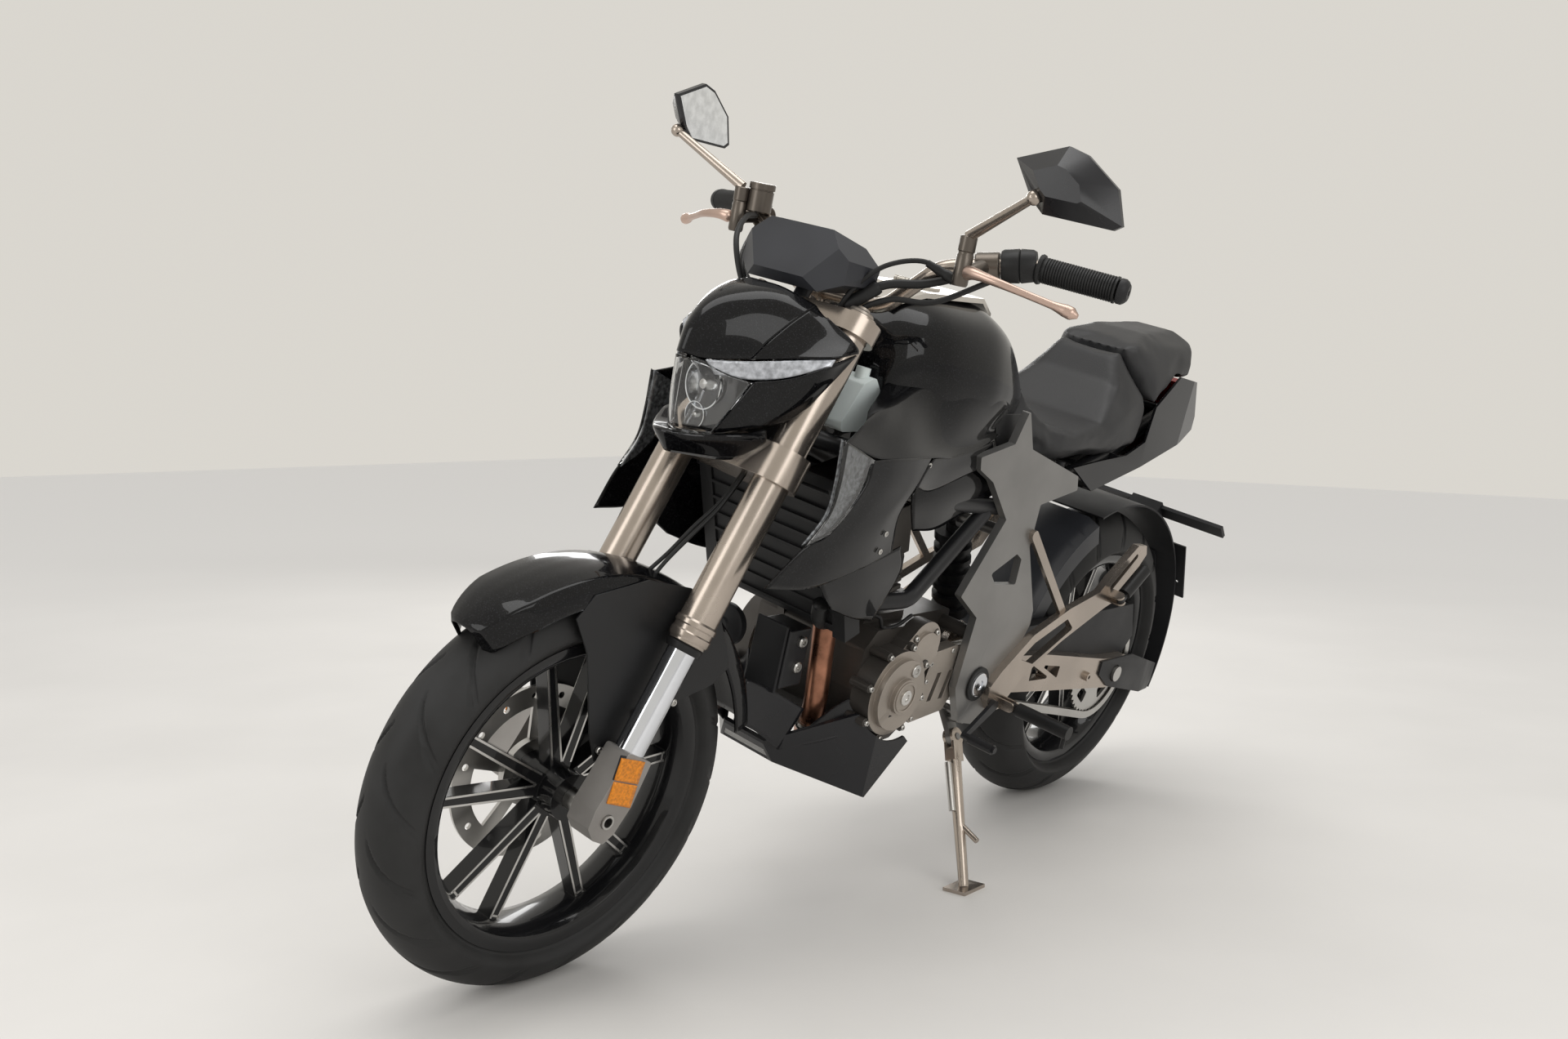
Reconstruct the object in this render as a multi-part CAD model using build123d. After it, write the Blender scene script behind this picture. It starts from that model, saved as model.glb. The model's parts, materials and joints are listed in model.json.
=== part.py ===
from build123d import *
import os
from math import atan2, cos, degrees, pi, radians, sin, sqrt

# A light single-cylinder sport bike, leaning on its side stand. Millimetres.
# Every piece is drawn on the upright bike: x runs forward from the rear axle, y to the
# rider's left, z up from the ground. The last part of the file turns the steered pieces
# about the steering axis, leans the whole bike and writes one STEP for each piece.

# ---- stance ------------------------------------------------------------------------------
WHEELBASE = 1385.0
RAKE = 25.5                 # steering axis behind the vertical, degrees
YOKE_OFFSET = 35.0          # steering axis to the plane of the fork legs
LEAN = 14.63                # to the left, on the side stand, degrees
PARKED_STEER = -3.38        # bars a little to the right, degrees
STEER_LOCK = 25.0           # each way from straight ahead, degrees
FIT = 0.3                   # clearance where one piece seats in or on another
RUN = 0.5                   # radial clearance of a turning piece on its shaft

# ---- wheels ------------------------------------------------------------------------------
FRONT_RADIUS = 293.0        # 110/70-17
FRONT_CROWN = 57.0          # radius of the round tread
REAR_RADIUS = 312.0         # 160/60-17
REAR_CROWN = 82.0
BEAD = 216.0                # bead seat of a 17 inch rim
FLANGE = 228.0              # rim edge
FLANGE_WALL = 4.0
FRONT_RIM_HALF = 40.0       # inside the flanges
REAR_RIM_HALF = 56.0
RIM_BARREL = 197.0          # inner face of the rim well
HUB_RADIUS = 34.0
FRONT_HUB_HALF = 44.0
REAR_HUB_HALF = 72.0
SPOKE_PAIRS = 5
SPOKE_HALF = 13.0           # half the thickness of a spoke, along the axle
AXLE_RADIUS = 10.0
AXLE_BORE = 7.0             # the front axle is hollow

# ---- brakes ------------------------------------------------------------------------------
DISC_WALL = 5.0
FRONT_DISC_RADIUS = 130.0
FRONT_DISC_Y = -50.0        # left face of the front disc
REAR_DISC_RADIUS = 110.0
REAR_DISC_Y = -80.0
DISC_RUN = 5.2              # caliper slot to disc, each side

# ---- fork, drawn on its own plane: f forward of the legs, y left, h up from the axle -------
LEG_SPACING = 98.0          # centre plane to each leg
OUTER_TUBE = 27.0
INNER_TUBE = 21.0
TUBE_TOP = 772.0
OUTER_END = 258.0
INNER_END = 95.0
LOWER_CLAMP = (505.0, 555.0)
TOP_CLAMP = (738.0, 766.0)
CLAMP_EYE = 37.0            # outside of a clamp round a leg
FOOT_INNER = 76.0
FOOT_OUTER = 122.0
STEM_RADIUS = 15.0
HEAD_TUBE_RADIUS = 31.0
BAR_RADIUS = 11.0
BAR_F = -51.0               # handlebar centre at the risers
BAR_H = 811.0
RISER_SPACING = 38.0

# ---- engine and frame ----------------------------------------------------------------------
CASE_HALF = 112.0           # crankcase half width
CASE_AT_CHAIN = 80.0        # its left face behind the front sprocket
PLATE_INNER = 138.0         # frame side plates
PLATE_OUTER = 152.0
PIVOT = (575.0, 384.0)      # swingarm pivot, x and z
PIVOT_SHAFT = 10.0
RAIL_RADIUS = 14.0
MOUNT_LUG = (615.0, 478.0)  # rear engine mount
FRONT_MOUNT = (885.0, 548.0)
TANK_FLOOR = 816.0
TANK_FRONT = 950.0
CYLINDER_TILT = 13.0        # forward, degrees
GENERATOR = (814.0, 403.0)  # left cover, centre
GENERATOR_RADIUS = 72.0
CLUTCH = (800.0, 396.0)     # right cover, centre
CLUTCH_RADIUS = 82.0
RADIATOR_HALF = 145.0
RADIATOR_BACK = 17.0        # middle plane to the side tanks' back
RADIATOR_MIDDLE = (1012.0, 0.0, 638.0)
RADIATOR_TILT = 21.0        # top forward, degrees
SHOCK_TOP = (530.0, 640.0)
SHOCK_FOOT = (458.0, 424.0)
PANEL_WALL = 5.0            # plastic panels
SHROUD_MOUNT = (1018.0, 700.0)
SEAT_FLOOR = 768.0
SEAT_POST_X = 410.0

# ---- chain -------------------------------------------------------------------------------
CHAIN_LINE = 95.0
CHAIN_PITCH = 15.875
FRONT_TEETH = 14
REAR_TEETH = 42
FRONT_SPROCKET = (655.0, 396.0)
SPROCKET_WALL = 6.0
CHAIN_PLATES = (4.5, 7.0)   # side plates, from the chain line
PLATE_HEIGHT = 7.5          # half of it
ROLLER_HEIGHT = 4.0
ARM_INNER = 108.0           # swingarm, inner and outer face
ARM_OUTER = 132.0

# ---- side stand, pegs and cap ----------------------------------------------------------------
STAND_PIVOT = (565.0, 128.0, 270.0)
STAND_FOOT = (651.0, 278.0)  # foot centre on the ground, x from the rear axle, y as parked
STAND_FOLDED = (-0.975, 0.1, -0.17)  # direction of the folded leg
PEG_PIN = 4.0
PEG_RADIUS = 12.5
RIDER_PEG = (500.0, 190.0, 344.0)
PILLION_PEG = (185.0, 188.0, 512.0)
PILLION_FOLDED = (-0.8, 0.0, 0.6)
BRACKET = (PLATE_OUTER, 166.0)       # foot peg brackets, inner and outer face
HOLDER_TOP = (-278.0, 0.0, 549.0)    # number plate holder
HOLDER_LOW = (-340.0, 0.0, 426.0)
HOLDER_WALL = 4.0
PLATE_BOLT = 3.5
PLATE_BOLT_SPACING = 75.0   # centre plane to each hole
CAP_X = 800.0
CAP_RADIUS = 36.0
CAP_HINGE = (CAP_X + 44, 1038.0)
TANK_TOP = 1022.0
COVER_WALL = 8.0

CYLINDER_FOOT = Vector(800, 0, 512)
HEAD_MIDDLE = 133.0         # of the cylinder head, up along the barrel

# ---- frames of reference ----------------------------------------------------------------------
FRONT_AXLE = Vector(WHEELBASE, 0, FRONT_RADIUS)
REAR_AXLE = Vector(0, 0, REAR_RADIUS)
STEER_UP = Vector(-sin(radians(RAKE)), 0, cos(radians(RAKE)))
STEER_AHEAD = Vector(cos(radians(RAKE)), 0, sin(radians(RAKE)))
STEER_FOOT = FRONT_AXLE - STEER_AHEAD * YOKE_OFFSET
STEER_AXIS = Axis(STEER_FOOT, STEER_UP)
FORK = Plane(origin=FRONT_AXLE, x_dir=STEER_AHEAD, z_dir=STEER_UP)


def at_fork(f, y, h):
    """A point of the upright bike given along the fork."""
    return FORK.from_local_coords(Vector(f, y, h))


def steer_x(z, behind=0.0):
    """x at height z on a line parallel to the steering axis, this far behind it."""
    rise = z - STEER_FOOT.Z
    return STEER_FOOT.X - (rise * sin(radians(RAKE)) + behind) / cos(radians(RAKE))


def crown_low(centre, axle, radius, crown):
    """Height of the lowest point of a round-treaded tyre whose axle points along axle."""
    return centre.Z - (radius - crown) * sqrt(1 - axle.Z ** 2) - crown


def parked_place():
    """The lean to the left, then the lift and small pitch that set both tyres on z = 0."""
    lean = Location((0, 0, 0), (-LEAN, 0, 0))
    low = []
    for axle, turn, radius, crown in ((REAR_AXLE, 0, REAR_RADIUS, REAR_CROWN),
                                      (FRONT_AXLE, PARKED_STEER, FRONT_RADIUS, FRONT_CROWN)):
        ends = [Vertex(*(axle + Vector(0, y, 0))).rotate(STEER_AXIS, turn).moved(lean).center()
                for y in (0, 1)]
        low.append(crown_low(ends[0], ends[1] - ends[0], radius, crown))
    pitch = degrees(atan2(low[1] - low[0], WHEELBASE))
    return Location((0, 0, -low[0]), (0, pitch, 0)) * lean


PARKED = parked_place()
GROUND = PARKED.inverse() * Plane.XY     # the floor, seen from the upright bike


def from_ground(x, y, z):
    """A point of the upright bike given as the bike is parked."""
    return Vertex(x, y, z).moved(PARKED.inverse()).center()


# ---- ways of making a solid ---------------------------------------------------------------
def sheet(points, plane, radius=0.0):
    face = make_face(Polyline(*points, close=True))
    if radius:
        face = fillet(face.vertices(), radius)
    return plane * face


def side(points, y0, y1, radius=0.0):
    """A side-view outline (x, z), from y0 to y1."""
    return extrude(sheet(points, Plane.XZ.offset(-y1), radius), amount=y1 - y0)


def plan(points, z0, z1, radius=0.0):
    """A plan outline (x, y), from z0 to z1."""
    return extrude(sheet(points, Plane.XY.offset(z0), radius), amount=z1 - z0)


def across(points, x0, x1, radius=0.0):
    """A front-view outline (y, z), from x0 to x1."""
    return extrude(sheet(points, Plane.YZ.offset(x0), radius), amount=x1 - x0)


def whole_plan(points):
    """A half plan (x, y) and its mirror image."""
    return points + [(x, -y) for x, y in reversed(points)]


def whole_front(points):
    """A half front view (y, z) and its mirror image."""
    return points + [(-y, z) for y, z in reversed(points)]


def three_views(side_points, plan_half, front_half):
    """The body that has these outlines from the side, from above and from the front."""
    xs = [x for x, _ in side_points]
    zs = [z for _, z in side_points]
    ys = [abs(y) for _, y in plan_half]
    body = side(side_points, -max(ys) - 1, max(ys) + 1)
    body &= plan(whole_plan(plan_half), min(zs) - 1, max(zs) + 1)
    return body & across(whole_front(front_half), min(xs) - 1, max(xs) + 1)


def mirrored(shape):
    return mirror(shape, about=Plane.XZ)


def pair(shape):
    return [shape, mirrored(shape)]


def rod(start, end, radius, bore=0.0):
    start, end = Vector(*start), Vector(*end)
    line = end - start
    plane = Plane(origin=start, z_dir=line)
    section = Circle(radius)
    if bore:
        section -= Circle(bore)
    return extrude(plane * section, amount=line.length)


def cone(start, end, radius, end_radius):
    start, end = Vector(*start), Vector(*end)
    line = end - start
    solid = Solid.make_cone(radius, end_radius, line.length, Plane(origin=start, z_dir=line))
    return Part() + solid


def lateral(centre, y0, y1, radius, bore=0.0):
    """A round boss along the bike's width; centre is x and z."""
    return rod((centre[0], y0, centre[1]), (centre[0], y1, centre[1]), radius, bore)


def tube(points, radius, bends, bore=0.0):
    """A tube of straight runs joined by tangent arcs."""
    path = FilletPolyline(*points, radius=bends)
    section = Circle(radius)
    if bore:
        section -= Circle(bore)
    return sweep(Plane(origin=path @ 0, z_dir=path % 0) * section, path=path)


def link(start, end, radius, end_radius, y0, y1):
    """A flat arm with round ends, hull of two circles in the side view."""
    edges = [Pos(*start) * Circle(radius).edge(), Pos(*end) * Circle(end_radius).edge()]
    return extrude(Plane.XZ.offset(-y1) * make_hull(edges), amount=y1 - y0)


# ---- wheels, drawn about the Y axis and then carried to their axles --------------------------
def turned(points):
    """A solid of revolution about Y; points are (y, radius)."""
    return revolve(Plane.YZ * make_face(Polyline(*points, close=True)), axis=Axis.Y)


def tyre(radius, crown, rim_half):
    """Round tread, straight side walls and beads between the rim's flanges."""
    angle = radians(78)
    shoulder = (crown * sin(angle), radius - crown + crown * cos(angle))
    bead = rim_half - FIT
    seat = BEAD + FIT
    tread = ThreePointArc((-shoulder[0], shoulder[1]), (0, radius), (shoulder[0], shoulder[1]))
    walls = Polyline((shoulder[0], shoulder[1]), (bead + 4, FLANGE + 4), (bead, FLANGE + 1),
                     (bead, seat), (-bead, seat), (-bead, FLANGE + 1), (-bead - 4, FLANGE + 4),
                     (-shoulder[0], shoulder[1]))
    return revolve(Plane.YZ * make_face([tread, walls]), axis=Axis.Y)


def both_ends(half):
    """A half profile (y, radius) and its mirror image."""
    return half + [(-y, r) for y, r in reversed(half)]


def rim_ring(rim_half):
    """The rim: flanges, bead seats and a dropped well."""
    edge = rim_half + FLANGE_WALL
    outer = [(edge, FLANGE), (rim_half, FLANGE), (rim_half, BEAD), (rim_half * 0.5, BEAD),
             (rim_half * 0.3, RIM_BARREL + 7)]
    inner = [(edge, BEAD), (edge - 4, BEAD - 8), (rim_half * 0.4, RIM_BARREL)]
    return turned(both_ends(outer) + both_ends([(-y, r) for y, r in inner]))


def spoke(hub_turn, rim_turn, foot_half, tip_half):
    """One leg of a twin spoke: hub end and rim end turned apart, tapered in width."""
    near, far = HUB_RADIUS - 8, RIM_BARREL + 3
    ends = []
    for radius, turn, half in ((near, hub_turn, foot_half), (far, rim_turn, tip_half)):
        u, w = sin(radians(turn)), cos(radians(turn))
        ends.append((radius * u - half * w, radius * w + half * u))
        ends.append((radius * u + half * w, radius * w - half * u))
    outline = [ends[0], ends[1], ends[3], ends[2]]
    return side(outline, -SPOKE_HALF, SPOKE_HALF)


def rim(rim_half, hub_half):
    """Rim, hub and five twin spokes in one casting."""
    wheel = rim_ring(rim_half)
    for k in range(SPOKE_PAIRS):
        for hand in (-1, 1):
            leg = spoke(hand * 12, hand * 13.5, 10, 8)
            wheel += Rot(0, 360 / SPOKE_PAIRS * k, 0) * leg
    wheel += rod((0, -hub_half, 0), (0, hub_half, 0), HUB_RADIUS)
    return wheel - rod((0, -hub_half - 1, 0), (0, hub_half + 1, 0), AXLE_RADIUS + RUN)


def brake_disc(radius, left_face, hub_face):
    """A drilled ring on a petal carrier that is bolted to the hub's end."""
    right_face = left_face - DISC_WALL
    inner = radius * 0.76
    arms = SPOKE_PAIRS
    disc = rod((0, left_face, 0), (0, right_face, 0), radius, inner)
    for k in range(arms):
        arm = side([(-9, 30), (9, 30), (12, inner + 3), (-12, inner + 3)], right_face, left_face)
        disc += Rot(0, 360 / arms * k, 0) * arm
    for k in range(arms * 3):
        hole = rod((radius * 0.88, left_face + 1, 0), (radius * 0.88, right_face - 1, 0), 5)
        disc -= Rot(0, 360 / (arms * 3) * (k + 0.5), 0) * hole
    return disc + rod((0, hub_face, 0), (0, right_face, 0), 50, AXLE_RADIUS + 10)


def pitch_radius(teeth):
    return CHAIN_PITCH / 2 / sin(pi / teeth)


def sprocket(teeth, y0, y1):
    """Teeth as a ring of trapezes that stay inside the chain's rollers."""
    tip = pitch_radius(teeth) - ROLLER_HEIGHT - 1.0
    root = tip - 5.0
    outline = []
    for k in range(teeth):
        for share, radius in ((0.0, root), (0.25, root), (0.5, tip), (0.75, tip)):
            turn = 2 * pi * (k + share) / teeth
            outline.append((radius * cos(turn), radius * sin(turn)))
    return side(outline, y0, y1)


def rear_sprocket():
    y0 = CHAIN_LINE - SPROCKET_WALL / 2
    wheel = sprocket(REAR_TEETH, y0, y0 + SPROCKET_WALL)
    for k in range(5):
        window = side([(-14, 58), (14, 58), (20, 82), (-20, 82)], y0 - 1, y0 + SPROCKET_WALL + 1, 5)
        wheel -= Rot(0, 72 * k, 0) * window
    wheel += rod((0, REAR_HUB_HALF, 0), (0, y0 + SPROCKET_WALL, 0), 46)
    return wheel - rod((0, 0, 0), (0, 200, 0), AXLE_RADIUS + 10)


# ---- chassis: frame, engine and drive ---------------------------------------------------------
def frame():
    """Head tube, main rails, seat rails and the down tubes that hold the engine."""
    head = rod(at_fork(-YOKE_OFFSET, 0, LOWER_CLAMP[1] + 7),
               at_fork(-YOKE_OFFSET, 0, TOP_CLAMP[0] - 7), HEAD_TUBE_RADIUS, STEM_RADIUS + RUN)
    stub = at_fork(-YOKE_OFFSET - 12, 12, 596)
    rail = tube([stub, (1000, 90, 795), (760, 122, 712), (590, 122, 696), (420, 112, 728),
                 (200, 84, 766), (-60, 60, 850)], RAIL_RADIUS, 60)
    down = tube([(640, 122, 690), (805, 122, 552), (FRONT_MOUNT[0], 104, FRONT_MOUNT[1])],
                RAIL_RADIUS, 40)
    brace = rod((985, 94, 790), (FRONT_MOUNT[0], 104, FRONT_MOUNT[1]), 10)
    lug = lateral((590, 696), 112, PLATE_INNER, 12)
    pad = rod((925, 86, 768), (925, 86, TANK_FLOOR - FIT), 12)
    seat = radiator_plane().offset(-RADIATOR_BACK - FIT) * Pos(128, 10, 0)
    seat_end, seat_root = seat.position, (seat * Pos(0, 0, -22)).position
    holder = rod(seat_root, seat_end, 8) + Pos(*seat_root) * Sphere(8)
    holder += rod(seat_root, (929, 100, 654), 8)
    post = rod((SEAT_POST_X, 112, 730), (SEAT_POST_X, 112, SEAT_FLOOR - FIT), 9)
    ear = rod((200, 84, 766), (200, half_width(COWL_PLAN, 200) - PANEL_WALL - FIT, 766), 8)
    half = rail + down + brace + lug + pad + post + ear + holder
    bars = [lateral(FRONT_MOUNT, -104, 104, 9), lateral((-50, 847), -62, 62, 8),
            lateral((300, 749), -96, 96, 8)]
    welded = head + half + mirrored(half)
    for bar in bars:
        welded += bar
    bore = rod(at_fork(-YOKE_OFFSET, 0, 0), at_fork(-YOKE_OFFSET, 0, 900), STEM_RADIUS + RUN)
    return welded - bore


PLATE_OUTLINE = [(626, 872), (648, 815), (740, 795), (733, 774), (686, 752), (615, 684),
                 (696, 556), (630, 512), (640, 384), (604, 316), (532, 298), (440, 477),
                 (443, 505), (514, 629), (514, 705), (398, 726), (408, 752), (588, 805)]
PLATE_WINDOW = [(619, 589), (550, 619), (531, 608), (530, 562), (597, 568)]


def frame_plates():
    """Two cast plates round the swingarm pivot, tied by the pivot shaft and two cross bars."""
    plate = side(PLATE_OUTLINE, PLATE_INNER, PLATE_OUTER, 3)
    plate -= side(PLATE_WINDOW, PLATE_INNER - 1, PLATE_OUTER + 1, 4)
    plate += lateral(PIVOT, PLATE_OUTER, PLATE_OUTER + 5, 22)
    both = plate + mirrored(plate)
    both += lateral(PIVOT, -PLATE_INNER - 1, PLATE_INNER + 1, PIVOT_SHAFT)
    both += lateral((566, 316), -PLATE_INNER - 1, PLATE_INNER + 1, 8)
    both += lateral(SHOCK_TOP, -PLATE_INNER - 1, PLATE_INNER + 1, 11)
    return both + stand_lug()


def crankcase():
    """Cases with the recess behind the front sprocket, its shaft and sprocket, and lugs."""
    body = side([(712, 318), (745, 296), (838, 290), (864, 340), (876, 400), (876, 470), (850, 500),
                 (712, 500)], -CASE_HALF, CASE_HALF, 8)
    body += side([(622, 345), (650, 305), (745, 296), (745, 500), (600, 500), (600, 456),
                  (622, 440)], -CASE_HALF, CASE_AT_CHAIN, 8)
    body += side([(740, 480), (850, 500), (838, 512), (742, 512)], -80, 80)
    ear = side([(850, 480), (876, 465), (900, 540), (896, 561), (877, 561), (868, 540)], 58, 72)
    ear -= lateral(FRONT_MOUNT, 0, 100, 9 + FIT)
    body += ear + mirrored(ear)
    body += lateral(MOUNT_LUG, -PLATE_INNER, PLATE_INNER, 12)
    shaft = lateral(FRONT_SPROCKET, CASE_AT_CHAIN - 1, CASE_HALF - 8, 12)
    y0 = CHAIN_LINE - SPROCKET_WALL / 2
    teeth = sprocket(FRONT_TEETH, y0, y0 + SPROCKET_WALL)
    return body + shaft + Pos(FRONT_SPROCKET[0], 0, FRONT_SPROCKET[1]) * teeth


def cylinder():
    """Finned barrel, head and cover, tilted forward."""
    plane = Plane(origin=CYLINDER_FOOT, x_dir=(1, 0, 0), z_dir=(0, 0, 1)).rotated((0, CYLINDER_TILT, 0))
    barrel = plane * Pos(0, 0, 45) * Box(112, 140, 90)
    head = plane * Pos(0, 0, HEAD_MIDDLE) * Box(124, 150, 86)
    cover = plane * Pos(0, 0, 198) * Box(104, 132, 44)
    block = barrel + head + cover
    for k in range(5):
        groove = Box(200, 200, 5) - Box(98, 126, 5)
        block -= plane * Pos(0, 0, 20 + 14 * k) * groove
    return block & plan([(500, -200), (1000, -200), (1000, 200), (500, 200)], CYLINDER_FOOT.Z + FIT, 900)


def engine_covers():
    """Generator cover, sprocket cover and clutch cover, three pieces."""
    generator = lateral(GENERATOR, CASE_HALF, 150, GENERATOR_RADIUS)
    generator += lateral(GENERATOR, 150, 160, GENERATOR_RADIUS - 12) + lateral(GENERATOR, 160, 168, 30)
    generator += link(GENERATOR, (750, 470), 50, 44, CASE_HALF, 140)
    generator += lateral((750, 499 - 36), 140, 146, 34)
    guard = side([(738, 330), (738, 372), (716, 400), (706, 452), (640, 458), (606, 436),
                  (600, 390), (640, 338)], CASE_HALF, PLATE_INNER - 3, 6)
    guard += side([(712, 455), (740, 455), (740, 330), (712, 330)], CASE_HALF, CASE_HALF + 10)
    for x in (634, 668):
        guard -= side([(x, 412), (x + 12, 412), (x + 26, 362), (x + 14, 362)], 100, 140)
    guard -= generator
    clutch = lateral(CLUTCH, -CASE_HALF - 38, -CASE_HALF, CLUTCH_RADIUS)
    clutch += lateral(CLUTCH, -CASE_HALF - 46, -CASE_HALF - 38, CLUTCH_RADIUS - 20)
    clutch += lateral((712, 420), -CASE_HALF - 26, -CASE_HALF, 52)
    return [generator, guard, clutch]


def belt(offset):
    """Outline of the chain run round both sprockets, moved out by offset."""
    front = Pos(*FRONT_SPROCKET) * Circle(pitch_radius(FRONT_TEETH) + offset).edge()
    rear = Pos(0, REAR_RADIUS) * Circle(pitch_radius(REAR_TEETH) + offset).edge()
    return make_hull([front, rear])


def belt_band(half_height, y0, y1):
    band = belt(half_height) - belt(-half_height)
    return extrude(Plane.XZ.offset(-y1) * band, amount=y1 - y0)


def chain():
    """The drive chain as one fixed loop: rollers between two rows of side plates."""
    inner, outer = CHAIN_PLATES
    loop = belt_band(ROLLER_HEIGHT, CHAIN_LINE - inner, CHAIN_LINE + inner)
    loop += belt_band(PLATE_HEIGHT, CHAIN_LINE + inner, CHAIN_LINE + outer)
    return loop + belt_band(PLATE_HEIGHT, CHAIN_LINE - outer, CHAIN_LINE - inner)


def swingarm():
    """Pivot tube, two ribbed arms, the brace between them and the shock's lower ears."""
    arm = side([(598, 384), (590, 412), (540, 420), (300, 392), (60, 350), (-50, 342),
                (-62, 312), (-50, 284), (20, 282), (300, 318), (540, 350), (592, 358)],
               ARM_INNER, ARM_OUTER, 6)
    for a, b, c in (((500, 400), (500, 366), (420, 360)), ((470, 398), (390, 384), (392, 356)),
                    ((350, 378), (350, 346), (270, 340)), ((320, 374), (240, 360), (242, 336))):
        arm -= side([a, b, c], ARM_INNER - 1, ARM_OUTER + 1, 3)
    arm -= link((-30, REAR_RADIUS), (12, REAR_RADIUS), AXLE_RADIUS + FIT, AXLE_RADIUS + FIT,
                ARM_INNER - 1, ARM_OUTER + 1)
    pivot = lateral(PIVOT, -PLATE_INNER + FIT, PLATE_INNER - FIT, 24)
    brace = side([(530, 366), (400, 362), (400, 392), (440, 402), (530, 402)], -ARM_INNER, ARM_INNER, 6)
    ear = side([(438, 398), (480, 398), (470, 436), (446, 436)], 19, 28, 4)
    whole = pivot + arm + mirrored(arm) + brace + ear + mirrored(ear)
    whole += lateral(SHOCK_FOOT, -28, 28, 7)
    hook = lateral((120, 322), ARM_OUTER, ARM_OUTER + 8, 9)
    whole += hook + mirrored(hook)
    for hand in (1, -1):
        whole -= lateral((120, 322), hand * (ARM_OUTER - 14), hand * (ARM_OUTER + 9), 4)
    return whole - lateral(PIVOT, -200, 200, PIVOT_SHAFT + FIT)


def rear_axle():
    """Axle with its head, nut and the spacers that stop at the hub."""
    shaft = lateral((0, REAR_RADIUS), -ARM_OUTER - 8, ARM_OUTER + 8, AXLE_RADIUS)
    for hand in (-1, 1):
        shaft += lateral((0, REAR_RADIUS), hand * ARM_OUTER, hand * (ARM_OUTER + 10), 16)
        shaft += lateral((0, REAR_RADIUS), hand * (ARM_INNER - FIT), hand * (ARM_INNER - 4), 15)
    return shaft


def shock():
    """Damper between two eyes, with the spring's coils as a ridged sleeve."""
    top, foot = Vector(SHOCK_TOP[0], 0, SHOCK_TOP[1]), Vector(SHOCK_FOOT[0], 0, SHOCK_FOOT[1])
    length = (top - foot).length
    profile = [(0, 12), (14, 12), (14, 26), (34, 26), (34, 34)]
    coils = 6
    start, pitch = 34.0, (length - 80) / 6
    for k in range(coils):
        base = start + pitch * k
        profile += [(34, base + pitch * 0.45), (25, base + pitch * 0.5), (25, base + pitch * 0.95)]
        profile += [(34, base + pitch)]
    profile += [(34, length - 30), (14, length - 30), (14, length - 12), (0, length - 12)]
    plane = Plane(origin=foot, x_dir=(0, 1, 0), z_dir=top - foot)
    section = plane * Plane.XZ * make_face(Polyline(*profile, close=True))
    body = revolve(section, axis=Axis(foot, top - foot))
    body += lateral(SHOCK_FOOT, -16, 16, 15) + lateral(SHOCK_TOP, -16, 16, 19)
    body -= lateral(SHOCK_FOOT, -20, 20, 7 + FIT)
    return body - lateral(SHOCK_TOP, -20, 20, 11 + FIT)


def radiator_plane():
    tilt = radians(RADIATOR_TILT)
    return Plane(origin=RADIATOR_MIDDLE, x_dir=(0, 1, 0), z_dir=(cos(tilt), 0, -sin(tilt)))


def radiator():
    """Core between two side tanks, with guard bars in front and the shroud mounts."""
    plane = radiator_plane()
    core = plane * Pos(0, -4, 0) * Box(2 * RADIATOR_HALF - 50, 242, 26)
    tanks = [plane * Pos(h * (RADIATOR_HALF - 12.5), -4, 0) * Box(25, 254, 2 * RADIATOR_BACK) for h in (-1, 1)]
    grid = [plane * Pos(0, -112 + 28 * k, 15) * Box(2 * RADIATOR_HALF - 50, 5, 4) for k in range(9)]
    fan = plane * Pos(0, 38, -23) * Cylinder(72, 20)
    whole = core + fan
    for piece in tanks + grid:
        whole += piece
    reach = half_width(SHROUD_PLAN, SHROUD_MOUNT[0] - 8) - PANEL_WALL - FIT
    for hand in (-1, 1):
        whole += lateral(SHROUD_MOUNT, hand * (RADIATOR_HALF - 5), hand * reach, 8)
    return whole


# ---- chassis: tank, panels and seats ---------------------------------------------------------
TANK_SIDE = [(TANK_FRONT, TANK_FLOOR), (TANK_FRONT, 950), (936, 980), (925, 1004), (860, TANK_TOP), (700, TANK_TOP),
             (625, 995), (572, 940), (562, 880), (604, TANK_FLOOR)]
TANK_PLAN = [(TANK_FRONT, 72), (905, 118), (850, 140), (760, 150), (650, 130), (575, 102), (562, 90)]
TANK_FRONT_VIEW = [(112, TANK_FLOOR), (145, 856), (150, 905), (140, 962), (108, 1012), (66, TANK_TOP)]


def fuel_tank():
    body = three_views(TANK_SIDE, TANK_PLAN, TANK_FRONT_VIEW)
    return body - rod((CAP_X, 0, TANK_TOP - 32), (CAP_X, 0, TANK_TOP + 1), CAP_RADIUS - 10)


def tank_cover():
    """The metal panel along the top of the tank, with the hole and the hinge ears of the cap."""
    top = [(925, 1004), (860, TANK_TOP), (700, TANK_TOP), (625, 995)]
    outline = top + [(x, z + COVER_WALL) for x, z in reversed(top)]
    panel = side(outline, -80, 80)
    panel &= plan(whole_plan([(925, 52), (860, 64), (700, 62), (625, 34)]), 900, 1100)
    panel -= rod((CAP_X, 0, TANK_TOP - 1), (CAP_X, 0, TANK_TOP + 20), CAP_RADIUS - 4)
    for hand in (-1, 1):
        ear = lateral(CAP_HINGE, hand * 8.5, hand * 13, 5)
        ear += Pos(CAP_HINGE[0], hand * 10.75, TANK_TOP + 10) * Box(10, 4.5, 8)
        panel += ear
    return panel + lateral(CAP_HINGE, -9, 9, 2)


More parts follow.
